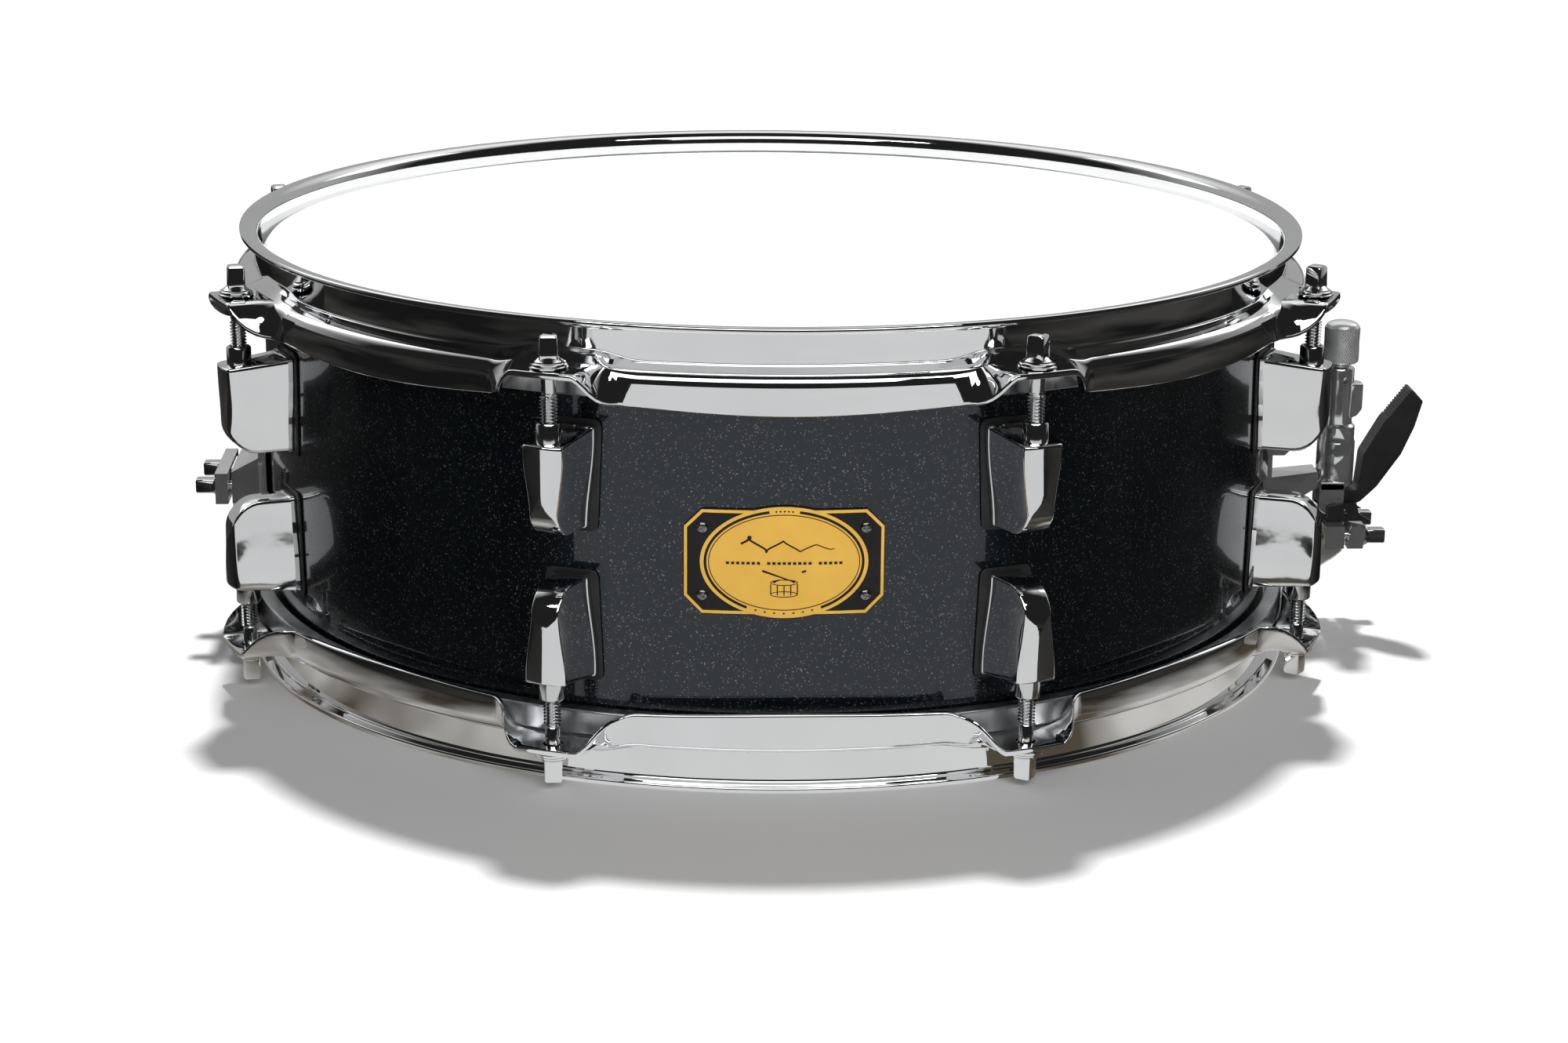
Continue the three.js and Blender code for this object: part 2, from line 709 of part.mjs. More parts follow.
function makeButt() {
  const back = -seatRadius;
  const w = buttWidth / 2;
  const clampMiddle = buttClampTop - buttClampHeight / 2;
  const clampBottom = buttClampTop - buttClampHeight;
  const jawIn = buttClampOut - buttJawThickness;
  const blockOut = jawIn - 2 * strapClearance - strapThickness;
  const base = hull(bothSides([
    [back, w + 3, buttTop + 4],
    [back, w + 3, buttBottom],
    [back - 3, w, buttTop + 2],
    [back - 3, w, buttBottom + 2],
  ]));
  const block = hull(bothSides([
    [back - 1, w - 1, buttTop],
    [back - 1, w - 1, clampBottom],
    [-blockOut, w - 2, buttClampTop],
    [-blockOut, w - 2, clampBottom],
  ]));
  const spots = [clampScrewHalfSpacing, -clampScrewHalfSpacing];
  const reach = [-buttClampOut - 2, back - 4];
  const holes = () => spots.map((y) => bar(clampScrewRadius + runGap, reach, y, clampMiddle));
  addPart("butt_plate", cut(join(base, block), ...holes()), "chrome");
  const jaw = box([-buttClampOut, -jawIn], [-w, w], [clampBottom, buttClampTop]);
  addPart("butt_clamp_jaw", cut(jaw, ...holes()), "chrome");
  const headAt = buttClampOut + touchGap;
  spots.forEach((y, i) => {
    const screw = keyScrew(headAt, headAt + back - 5, y, clampMiddle).rotateZ(Math.PI);
    addPart(`butt_clamp_screw_${i + 1}`, screw, "chrome");
  });
}

// A strap of one thickness along [x, z] points, which run outwards and then up into a clamp.
function strapPlate(points) {
  const offset = points.map(([x, z], i) => {
    const before = points[Math.max(i - 1, 0)];
    const after = points[Math.min(i + 1, points.length - 1)];
    const length = Math.hypot(after[0] - before[0], after[1] - before[1]);
    const normal = [-(after[1] - before[1]) / length, (after[0] - before[0]) / length];
    return [x + normal[0] * strapThickness, z + normal[1] * strapThickness];
  });
  return sidePlate([...points, ...offset.reverse()], [-strapHalfWidth, strapHalfWidth]);
}

function makeSnares() {
  const film = -halfDepth - touchGap - snareSideFilm;
  const wireZ = film - wireGap - wireRadius;
  const plateEnd = wireHalfLength + endPlateLength / 2;
  const pieces = [];
  for (let n = 0; n < wireCount; n += 1) {
    const y = (n - (wireCount - 1) / 2) * wireSpacing;
    pieces.push(bar(wireRadius, [-wireHalfLength, wireHalfLength], y, wireZ, 4));
  }
  const half = (wireCount * wireSpacing) / 2 + 0.6;
  for (const side of [-1, 1]) {
    const x = [side * (wireHalfLength - endPlateLength / 2), side * plateEnd].sort((a, b) => a - b);
    pieces.push(box(x, [-half, half], [wireZ - endPlateThickness / 2, wireZ + endPlateThickness / 2]));
  }
  addPart("snare_wires", join(...pieces), "steel");

  const start = plateEnd + touchGap;
  const run = [
    [start, wireZ],
    [wrapRadius - 1, wireZ],
    [hoopWallRadius, wireZ + 0.8],
    [skirtRadius - 1, wireZ + 5],
    [skirtRadius + 4, wireZ + 10],
  ];
  const strainerLine = clampBlockOut + strapClearance + strapThickness;
  const clampBottom = clampTop - clampHeight;
  addPart("strainer_strap", strapPlate([
    ...run,
    [strainerLine - 3, clampBottom - adjusterTravel - 3.5],
    [strainerLine, clampBottom - adjusterTravel - 0.8],
    [strainerLine, clampTop - 0.5],
  ]), "strap");
  const buttLine = buttClampOut - buttJawThickness - strapClearance;
  const buttStrap = strapPlate([
    ...run,
    [buttLine - 0.6, buttClampTop - buttClampHeight - 6],
    [buttLine, buttClampTop - buttClampHeight - 2],
    [buttLine, buttClampTop - 0.5],
  ]);
  addPart("butt_strap", buttStrap.rotateZ(Math.PI), "strap");
}

makeShell();
makeWrap();
makeVentGrommet();
makeBadge();
makeHead("batter_head", batterFilm, "film", 1);
makeHead("snare_side_head", snareSideFilm, "clearFilm", -1);
makeFleshHoop("batter_flesh_hoop", 1);
makeFleshHoop("snare_side_flesh_hoop", -1);
makeHoop("batter_hoop", 1);
makeHoop("snare_side_hoop", -1);
for (let n = 0; n < positions; n += 1) {
  const angle = firstAngle + (n * 360) / positions;
  makeLug(`batter_lug_${n + 1}`, angle, 1);
  makeLug(`snare_side_lug_${n + 1}`, angle, -1);
  makeRod(`batter_tension_rod_${n + 1}`, angle, 1);
  makeRod(`snare_side_tension_rod_${n + 1}`, angle, -1);
}
makeStrainerBracket();
makeStrainerBody();
makeLeverPin();
makeLever();
makeCarriage();
makeKnob();
makeSnareClamp();
makeButt();
makeSnares();

// Stand the drum on the floor, with the origin under the middle of its overall box.
const bounds = new THREE.Box3().setFromObject(drum, true);
const middle = bounds.getCenter(new THREE.Vector3());
drum.position.set(-middle.x, -middle.y, -bounds.min.z);

const snareDrum = new THREE.Group();
snareDrum.add(drum);

export default snareDrum;
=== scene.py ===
import math

import bmesh
import bpy
from mathutils import Matrix, Vector


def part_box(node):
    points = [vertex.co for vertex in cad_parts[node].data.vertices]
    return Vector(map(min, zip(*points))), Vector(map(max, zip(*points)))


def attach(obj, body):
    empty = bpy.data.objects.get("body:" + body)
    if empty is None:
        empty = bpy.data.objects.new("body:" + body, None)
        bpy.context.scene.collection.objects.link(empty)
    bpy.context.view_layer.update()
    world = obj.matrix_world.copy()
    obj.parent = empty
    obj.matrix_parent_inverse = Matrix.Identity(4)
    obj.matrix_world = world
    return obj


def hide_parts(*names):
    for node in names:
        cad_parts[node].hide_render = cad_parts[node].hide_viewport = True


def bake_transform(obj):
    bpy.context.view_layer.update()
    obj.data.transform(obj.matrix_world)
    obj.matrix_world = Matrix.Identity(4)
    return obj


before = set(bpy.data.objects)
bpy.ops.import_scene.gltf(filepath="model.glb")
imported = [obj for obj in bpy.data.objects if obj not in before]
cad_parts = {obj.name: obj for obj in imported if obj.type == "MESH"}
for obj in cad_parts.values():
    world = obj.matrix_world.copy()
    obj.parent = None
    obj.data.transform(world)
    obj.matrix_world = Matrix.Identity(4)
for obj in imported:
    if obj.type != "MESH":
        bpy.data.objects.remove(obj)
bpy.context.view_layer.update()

# Everything is drawn in millimetres about the drum's axis, half way up the shell, and then placed.
mm = 0.001
wrapLow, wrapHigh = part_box("shell_wrap")
drumCentre = (wrapLow + wrapHigh) / 2
wrapRadius = (wrapHigh.x - wrapLow.x) / 2 / mm
shellLow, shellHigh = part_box("shell")
halfDepth = (shellHigh.z - shellLow.z) / 2 / mm
lipTop = (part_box("batter_hoop")[1].z - drumCentre.z) / mm
positions = 8
rodAngles = [22.5 + 45 * n for n in range(positions)]


def inDrum(node):
    low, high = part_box(node)
    return (low - drumCentre) / mm, (high - drumCentre) / mm


rodLow, rodHigh = inDrum("batter_tension_rod_1")
rodCircle = math.hypot(rodLow.x + rodHigh.x, rodLow.y + rodHigh.y) / 2


def stationMatrix(angle=90.0, side=1):  # +X points out of the drum at that angle; side -1 is the snare side
    turn = Matrix.Rotation(math.radians(angle - 90), 4, "Z")
    return Matrix.Translation(drumCentre) @ turn @ Matrix.Diagonal((mm, mm, mm * side, 1))


def circle(radius, count, centre=(0, 0)):  # points round a circle, anticlockwise
    turns = [2 * math.pi * k / count for k in range(count)]
    return [(centre[0] + radius * math.cos(a), centre[1] + radius * math.sin(a)) for a in turns]


def addLoft(mesh, sections, closed=False, caps=True):  # sections are rings with one count of points
    rings = [[mesh.verts.new(point) for point in section] for section in sections]
    count = len(rings[0])
    pairs = list(zip(rings, rings[1:]))
    if closed:
        pairs.append((rings[-1], rings[0]))
    for first, second in pairs:
        for i in range(count):
            k = (i + 1) % count
            mesh.faces.new((first[i], first[k], second[k], second[i]))
    if caps and not closed:
        mesh.faces.new(list(reversed(rings[0])))
        mesh.faces.new(rings[-1])
    return rings


def addLathe(mesh, profile, segments=48, centre=(0, 0), closedProfile=False):  # profile is [radius, z]
    rings = []
    for radius, z in profile:
        points = circle(radius, segments, centre) if radius else [centre]
        rings.append([mesh.verts.new((x, y, z)) for x, y in points])
    pairs = list(zip(rings, rings[1:]))
    if closedProfile:
        pairs.append((rings[-1], rings[0]))
    for first, second in pairs:
        for i in range(segments):
            k = (i + 1) % segments
            corners = [first[0]] if len(first) == 1 else [first[i], first[k]]
            corners += [second[0]] if len(second) == 1 else [second[k], second[i]]
            if len(corners) > 2:
                mesh.faces.new(corners)
    if not closedProfile:
        if len(rings[0]) > 1:
            mesh.faces.new(list(reversed(rings[0])))
        if len(rings[-1]) > 1:
            mesh.faces.new(rings[-1])


def addPrism(mesh, outline, low, high, axis="Z"):  # outline is [u, v] in the plane across the axis
    def point(u, v, w):
        return {"Z": (u, v, w), "Y": (u, w, v), "X": (w, u, v)}[axis]
    addLoft(mesh, [[point(u, v, w) for u, v in outline] for w in (low, high)])


def roundedOutline(points, radii, steps=4):  # each corner becomes an arc with its own radius
    made = []
    count = len(points)
    sizes = list(radii) if isinstance(radii, (list, tuple)) else [radii] * count
    for i, corner in enumerate(points):
        here = Vector(corner)
        before = Vector(points[i - 1]) - here
        after = Vector(points[(i + 1) % count]) - here
        radius, last, following = (max(sizes[k], 0.001) for k in (i, i - 1, (i + 1) % count))
        opening = before.angle(after)
        reach = min(radius / max(math.tan(opening / 2), 1e-3),
                    before.length * 0.98 * radius / (radius + last),
                    after.length * 0.98 * radius / (radius + following))
        start = here + before.normalized() * reach
        end = here + after.normalized() * reach
        for step in range(steps + 1):
            t = step / steps
            blend = start.lerp(here, t).lerp(here.lerp(end, t), t)
            made.append((blend.x, blend.y))
    return made


def smoothStep(low, high, value):
    t = min(max((value - low) / (high - low), 0.0), 1.0)
    return t * t * (3 - 2 * t)


# Makes a mesh drawn in millimetres into a shown piece: placed, cut, dressed and riding on its body.
# Without a body the piece is not attached.
def finishPiece(name, mesh, body, material, matrix=None, stands=(), bevel=0.0, sharp=35.0,
                cutters=()):
    bmesh.ops.remove_doubles(mesh, verts=mesh.verts, dist=1e-5)
    bmesh.ops.transform(mesh, matrix=matrix or stationMatrix(), verts=mesh.verts)
    bmesh.ops.recalc_face_normals(mesh, faces=mesh.faces)
    data = bpy.data.meshes.new(name)
    mesh.to_mesh(data)
    mesh.free()
    piece = bpy.data.objects.new(name, data)
    bpy.context.scene.collection.objects.link(piece)
    if cutters:
        cutPiece(piece, cutters)
    dressPiece(piece, material, bevel, sharp)
    if body:
        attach(piece, body)
    if stands:
        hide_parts(*stands)
    return piece


def dressPiece(piece, material, bevel, sharp):
    piece.data.materials.clear()
    piece.data.materials.append(material)
    piece.data.shade_smooth()
    if bevel:
        edge = piece.modifiers.new("edge", "BEVEL")
        edge.width = bevel * mm
        edge.segments = 3
        edge.limit_method = "ANGLE"
        edge.angle_limit = math.radians(sharp)
        edge.harden_normals = True
    else:
        piece.data.set_sharp_from_angle(angle=math.radians(sharp))


def cutPiece(piece, cutters):  # cutters are closed bmeshes in the row frame
    whole = bpy.data.meshes.new("cutter")
    joined = bmesh.new()
    for cutter in cutters:
        part = bpy.data.meshes.new("cutterPart")
        cutter.to_mesh(part)
        cutter.free()
        joined.from_mesh(part)
        bpy.data.meshes.remove(part)
    bmesh.ops.recalc_face_normals(joined, faces=joined.faces)
    joined.to_mesh(whole)
    joined.free()
    tool = bpy.data.objects.new("cutter", whole)
    bpy.context.scene.collection.objects.link(tool)
    cut = piece.modifiers.new("cut", "BOOLEAN")
    cut.operation = "DIFFERENCE"
    cut.solver = "EXACT"
    cut.object = tool
    bpy.context.view_layer.update()
    made = bpy.data.meshes.new_from_object(piece.evaluated_get(bpy.context.evaluated_depsgraph_get()))
    made.name = piece.name
    piece.modifiers.clear()
    piece.data = made
    bpy.data.objects.remove(tool)


def cutterPost(radius, low, high, angle=90.0, side=1, out=0.0, along="Z", segments=20):
    tool = bmesh.new()
    addLathe(tool, [(radius, low), (radius, high)], segments)
    if along == "X":
        bmesh.ops.transform(tool, matrix=Matrix.Rotation(math.pi / 2, 4, "Y"), verts=tool.verts)
    bmesh.ops.translate(tool, vec=(out, 0, 0), verts=tool.verts)
    bmesh.ops.transform(tool, matrix=stationMatrix(angle, side), verts=tool.verts)
    return tool


def carryNode(node, material, bevel=0.3, sharp=30.0):  # a CAD piece shown as it is, with soft edges
    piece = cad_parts[node]
    dressPiece(piece, material, bevel, sharp)


def newMaterial(name):
    material = bpy.data.materials.new(name)
    material.use_nodes = True
    nodes = material.node_tree.nodes
    return material, nodes, material.node_tree.links, nodes["Principled BSDF"]


def noiseNode(nodes, links, scale, detail=3.0, stretch=None):
    place = nodes.new("ShaderNodeTexCoord")
    noise = nodes.new("ShaderNodeTexNoise")
    noise.inputs["Scale"].default_value = scale
    noise.inputs["Detail"].default_value = detail
    source = place.outputs["Object"]
    if stretch:
        mapping = nodes.new("ShaderNodeMapping")
        mapping.inputs["Scale"].default_value = stretch
        links.new(source, mapping.inputs["Vector"])
        source = mapping.outputs["Vector"]
    links.new(source, noise.inputs["Vector"])
    return noise


def rampNode(nodes, links, source, stops):
    ramp = nodes.new("ShaderNodeValToRGB")
    band = ramp.color_ramp
    while len(band.elements) < len(stops):
        band.elements.new(0.5)
    for element, (at, colour) in zip(band.elements, stops):
        element.position = at
        element.color = (*colour, 1) if len(colour) == 3 else colour
    links.new(source, ramp.inputs["Fac"])
    return ramp


def rangeNode(nodes, links, source, low, high, fromLow=0.3, fromHigh=0.7):
    ranged = nodes.new("ShaderNodeMapRange")
    ranged.inputs["From Min"].default_value = fromLow
    ranged.inputs["From Max"].default_value = fromHigh
    ranged.inputs["To Min"].default_value = low
    ranged.inputs["To Max"].default_value = high
    links.new(source, ranged.inputs["Value"])
    return ranged.outputs["Result"]


def bumpNode(nodes, links, height, strength, distance, shader):
    bump = nodes.new("ShaderNodeBump")
    bump.inputs["Strength"].default_value = strength
    bump.inputs["Distance"].default_value = distance
    links.new(height, bump.inputs["Height"])
    links.new(bump.outputs["Normal"], shader.inputs["Normal"])


def makeMetal(name, light, dark, roughLow, roughHigh, ripple=0.03, rippleScale=90.0, metallic=1.0):
    material, nodes, links, shader = newMaterial(name)
    shader.inputs["Metallic"].default_value = metallic
    cloud = noiseNode(nodes, links, 28.0, 4.0)
    tint = rampNode(nodes, links, cloud.outputs["Fac"], [(0.3, dark), (0.7, light)])
    links.new(tint.outputs["Color"], shader.inputs["Base Color"])
    smear = noiseNode(nodes, links, 160.0, 6.0)
    links.new(rangeNode(nodes, links, smear.outputs["Fac"], roughLow, roughHigh), shader.inputs["Roughness"])
    wave = noiseNode(nodes, links, rippleScale, 2.0)
    bumpNode(nodes, links, wave.outputs["Fac"], ripple, 0.0004, shader)
    return material


def makeSparkle():  # black lacquer with fine silver flakes under a clear coat
    look = {"lacquer": (0.0036, 0.0050, 0.0056), "deep": (0.0016, 0.0030, 0.0034),
            "flakeScale": 3000.0, "flakeShare": 0.05, "flake": (0.32, 0.312, 0.304),
            "dimFlake": (0.03, 0.032, 0.036), "flakeMetal": 0.85, "rough": (0.24, 0.42),
            "sheen": 0.3, "sheenTint": (0.55, 0.72, 1.0, 1), "coatRough": 0.025, "coatIndex": 1.5}
    material, nodes, links, shader = newMaterial("blackSparkleLacquer")
    place = nodes.new("ShaderNodeTexCoord")
    flakes = nodes.new("ShaderNodeTexVoronoi")
    flakes.inputs["Scale"].default_value = look["flakeScale"]
    links.new(place.outputs["Object"], flakes.inputs["Vector"])
    split = nodes.new("ShaderNodeSeparateColor")
    links.new(flakes.outputs["Color"], split.inputs["Color"])
    chosen = nodes.new("ShaderNodeMath")
    chosen.operation = "LESS_THAN"
    chosen.inputs[1].default_value = look["flakeShare"]
    links.new(split.outputs["Red"], chosen.inputs[0])
    streaks = noiseNode(nodes, links, 30.0, 4.0, (1.0, 1.0, 0.06))
    ground = rampNode(nodes, links, streaks.outputs["Fac"], [(0.35, look["deep"]), (0.65, look["lacquer"])])
    mix = nodes.new("ShaderNodeMix")
    mix.data_type = "RGBA"
    links.new(chosen.outputs[0], mix.inputs["Factor"])
    links.new(ground.outputs["Color"], mix.inputs["A"])
    brightness = rampNode(nodes, links, split.outputs["Green"], [(0.0, look["dimFlake"]), (1.0, look["flake"])])
    links.new(brightness.outputs["Color"], mix.inputs["B"])
    links.new(mix.outputs["Result"], shader.inputs["Base Color"])
    flake = chosen.outputs[0]
    links.new(rangeNode(nodes, links, flake, *look["rough"], 0, 1), shader.inputs["Roughness"])
    links.new(rangeNode(nodes, links, flake, 0.0, look["flakeMetal"], 0, 1), shader.inputs["Metallic"])
    orangePeel = noiseNode(nodes, links, 320.0, 2.0)
    bumpNode(nodes, links, orangePeel.outputs["Fac"], 0.012, 0.0002, shader)
    shader.inputs["Specular IOR Level"].default_value = look["sheen"]
    shader.inputs["Specular Tint"].default_value = look["sheenTint"]
    shader.inputs["Coat Weight"].default_value = 1.0
    shader.inputs["Coat Roughness"].default_value = look["coatRough"]
    shader.inputs["Coat IOR"].default_value = look["coatIndex"]
    return material


def makePlywood():  # streaked maple with open pores
    look = {"light": (0.52, 0.34, 0.17), "dark": (0.30, 0.17, 0.075), "rough": (0.42, 0.6)}
    material, nodes, links, shader = newMaterial("maplePlywood")
    grain = noiseNode(nodes, links, 60.0, 8.0, (0.15, 0.15, 3.0))
    tint = rampNode(nodes, links, grain.outputs["Fac"], [(0.3, look["dark"]), (0.55, look["light"])])
    speckle = nodes.new("ShaderNodeMix")
    speckle.data_type = "RGBA"
    pores = noiseNode(nodes, links, 900.0, 2.0, (0.3, 0.3, 2.0))
    links.new(rangeNode(nodes, links, pores.outputs["Fac"], 0.0, 0.5, 0.45, 0.8), speckle.inputs["Factor"])
    links.new(tint.outputs["Color"], speckle.inputs["A"])
    speckle.inputs["B"].default_value = (*look["dark"], 1)
    links.new(speckle.outputs["Result"], shader.inputs["Base Color"])
    links.new(rangeNode(nodes, links, grain.outputs["Fac"], *look["rough"]), shader.inputs["Roughness"])
    bumpNode(nodes, links, pores.outputs["Fac"], 0.15, 0.0003, shader)
    return material


def makeCoatedFilm():  # white film with a sprayed, gritty coat
    look = {"light": (0.83, 0.83, 0.825), "dark": (0.76, 0.765, 0.77), "rough": (0.55, 0.75),
            "gritScale": 1900.0}
    material, nodes, links, shader = newMaterial("coatedFilm")
    cloud = noiseNode(nodes, links, 16.0, 5.0)
    tint = rampNode(nodes, links, cloud.outputs["Fac"], [(0.3, look["dark"]), (0.7, look["light"])])
    links.new(tint.outputs["Color"], shader.inputs["Base Color"])
    grit = noiseNode(nodes, links, look["gritScale"], 3.0)
    links.new(rangeNode(nodes, links, grit.outputs["Fac"], *look["rough"]), shader.inputs["Roughness"])
    bumpNode(nodes, links, grit.outputs["Fac"], 0.25, 0.00012, shader)
    shader.inputs["Specular IOR Level"].default_value = 0.3
    return material


def makeHazyFilm():  # thin film that lets some light through
    look = {"light": (0.88, 0.89, 0.89), "dark": (0.80, 0.82, 0.83), "rough": (0.12, 0.22), "solid": 0.72}
    material, nodes, links, shader = newMaterial("hazyFilm")
    cloud = noiseNode(nodes, links, 12.0, 4.0)
    tint = rampNode(nodes, links, cloud.outputs["Fac"], [(0.3, look["dark"]), (0.7, look["light"])])
    links.new(tint.outputs["Color"], shader.inputs["Base Color"])
    links.new(rangeNode(nodes, links, cloud.outputs["Fac"], *look["rough"]), shader.inputs["Roughness"])
    wrinkle = noiseNode(nodes, links, 40.0, 2.0)
    bumpNode(nodes, links, wrinkle.outputs["Fac"], 0.02, 0.0006, shader)
    shader.inputs["Alpha"].default_value = look["solid"]
    return material


def makeSatin(name, light, dark, roughLow, roughHigh, grainScale=700.0, bump=0.1, sheen=0.5):
    material, nodes, links, shader = newMaterial(name)
    shader.inputs["Specular IOR Level"].default_value = sheen
    cloud = noiseNode(nodes, links, 90.0, 4.0)
    tint = rampNode(nodes, links, cloud.outputs["Fac"], [(0.3, dark), (0.7, light)])
    links.new(tint.outputs["Color"], shader.inputs["Base Color"])
    grain = noiseNode(nodes, links, grainScale, 3.0)
    links.new(rangeNode(nodes, links, grain.outputs["Fac"], roughLow, roughHigh), shader.inputs["Roughness"])
    bumpNode(nodes, links, grain.outputs["Fac"], bump, 0.0002, shader)
    return material


def makeBrushed(name, light, dark, across):  # fine lines along one direction
    material, nodes, links, shader = newMaterial(name)
    shader.inputs["Metallic"].default_value = 1.0
    lines = noiseNode(nodes, links, 500.0, 4.0, across)
    tint = rampNode(nodes, links, lines.outputs["Fac"], [(0.3, dark), (0.7, light)])
    links.new(tint.outputs["Color"], shader.inputs["Base Color"])
    links.new(rangeNode(nodes, links, lines.outputs["Fac"], 0.28, 0.42), shader.inputs["Roughness"])
    bumpNode(nodes, links, lines.outputs["Fac"], 0.08, 0.0001, shader)
    return material


# light tone, dark tone, roughness from and to, then ripple or grain
chrome = makeMetal("chromePlate", (0.90, 0.905, 0.91), (0.84, 0.845, 0.85), 0.02, 0.055)
castChrome = makeMetal("castChrome", (0.88, 0.885, 0.89), (0.81, 0.815, 0.82), 0.03, 0.075, 0.06, 140.0)
knurledChrome = makeMetal("knurledChrome", (0.86, 0.865, 0.87), (0.74, 0.745, 0.75), 0.22, 0.34, 0.1, 900.0,
                          metallic=0.8)
fittingChrome = makeMetal("fittingChrome", (0.88, 0.885, 0.89), (0.80, 0.805, 0.81), 0.05, 0.11, 0.05, 140.0,
                          metallic=0.91)
rodChrome = makeMetal("rodChrome", (0.80, 0.805, 0.81), (0.70, 0.705, 0.71), 0.05, 0.12, 0.05, 300.0)
wireSteel = makeMetal("wireSteel", (0.62, 0.62, 0.61), (0.50, 0.50, 0.49), 0.18, 0.30, 0.05, 500.0)
screwBlack = makeMetal("screwBlack", (0.30, 0.30, 0.29), (0.20, 0.20, 0.19), 0.14, 0.25)
hoopAluminium = makeBrushed("hoopAluminium", (0.62, 0.63, 0.64), (0.50, 0.51, 0.52), (1.0, 1.0, 0.05))
gasketRubber = makeSatin("gasketRubber", (0.016, 0.016, 0.017), (0.009, 0.009, 0.010), 0.38, 0.55)
leverBlack = makeSatin("leverBlack", (0.014, 0.014, 0.015), (0.008, 0.008, 0.009), 0.32, 0.45, 900.0, 0.06)
badgeBlack = makeSatin("badgeBlack", (0.012, 0.012, 0.012), (0.008, 0.008, 0.008), 0.25, 0.38, 600.0, 0.03,
                       sheen=0.25)
badgeYellow = makeSatin("badgeYellow", (0.86, 0.50, 0.065), (0.80, 0.45, 0.05), 0.30, 0.42, 500.0, 0.03)
strapTape = makeSatin("strapTape", (0.70, 0.70, 0.67), (0.60, 0.60, 0.57), 0.32, 0.45, 300.0, 0.08)
sparkle = makeSparkle()
plywood = makePlywood()
coatedFilm = makeCoatedFilm()
hazyFilm = makeHazyFilm()
print("finishes made")


shellShape = {"thickness": 6.5, "wrapThickness": 0.6, "glueGap": 0.3, "edgeFlat": 1.2, "edgeBevel": 4.6,
              "ventRadius": 6.4, "ventAngle": 180.0, "bedDepth": 1.6, "bedHalfWidth": 45.0, "bedRamp": 22.0,
              "segments": 256}
shellOutside = wrapRadius - shellShape["wrapThickness"] - shellShape["glueGap"]
shellInside = shellOutside - shellShape["thickness"]


def ventCutter():
    s = shellShape
    return cutterPost(s["ventRadius"], wrapRadius - 20, wrapRadius + 20, s["ventAngle"], along="X", segments=32)


def makeShell():
    s = shellShape
    peak = shellOutside - s["edgeFlat"]
    profile = [(shellOutside, halfDepth - 2.6), (shellOutside - 0.35, halfDepth - 1.2), (peak, halfDepth - 0.3),
               (peak - 0.6, halfDepth), (shellInside, halfDepth - s["edgeBevel"])]
    profile = [(r, -z) for r, z in reversed(profile)] + profile
    mesh = bmesh.new()
    addLathe(mesh, profile, s["segments"], closedProfile=True)
    bed = bmesh.new()  # the snare beds are shallow dips in the lower edge, one at each side
    wide, deep = s["bedHalfWidth"], s["bedDepth"] - halfDepth
    mouth = wide + s["bedRamp"]
    addPrism(bed, [(-mouth, -halfDepth - 1), (mouth, -halfDepth - 1), (wide, deep), (-wide, deep)],
             -wrapRadius - 5, wrapRadius + 5, "X")
    bmesh.ops.transform(bed, matrix=stationMatrix(), verts=bed.verts)
    finishPiece("plyShell", mesh, "drum", plywood, stands=["shell"], cutters=[bed, ventCutter()])


def makeWrap():
    s = shellShape
    low, high = inDrum("shell_wrap")
    inner, edge = wrapRadius - s["wrapThickness"], 0.15
    mesh = bmesh.new()
    addLathe(mesh, [(inner, low.z), (wrapRadius - edge, low.z), (wrapRadius, low.z + edge),
                    (wrapRadius, high.z - edge), (wrapRadius - edge, high.z), (inner, high.z)],
             s["segments"], closedProfile=True)
    finishPiece("sparkleWrap", mesh, "drum", sparkle, stands=["shell_wrap"],
                cutters=[ventCutter()])


def makeVentGrommet():
    s = shellShape
    outer = s["ventRadius"] - 0.3
    lip = roundedOutline([(outer - 1.2, -9), (outer, -9), (outer, 0.3), (outer + 2.6, 0.3), (outer + 2.2, 1.5),
                          (outer - 1.2, 1.7)], [0.1, 0.1, 0.1, 0.3, 0.7, 0.8])
    mesh = bmesh.new()
    addLathe(mesh, lip, 48, closedProfile=True)
    bmesh.ops.transform(mesh, matrix=Matrix.Rotation(math.pi / 2, 4, "Y"), verts=mesh.verts)
    bmesh.ops.translate(mesh, vec=(wrapRadius + 0.3, 0, 0), verts=mesh.verts)
    finishPiece("ventGrommet", mesh, "drum", chrome, stationMatrix(s["ventAngle"]),
                stands=["vent_grommet"], sharp=50)


headShape = {"batterFilm": 0.25, "snareFilm": 0.12, "edgeInset": 1.7, "collarFrom": 2.0, "collarTo": 7.0,
             "fleshGap": 1.5, "fleshWidth": 5.3}
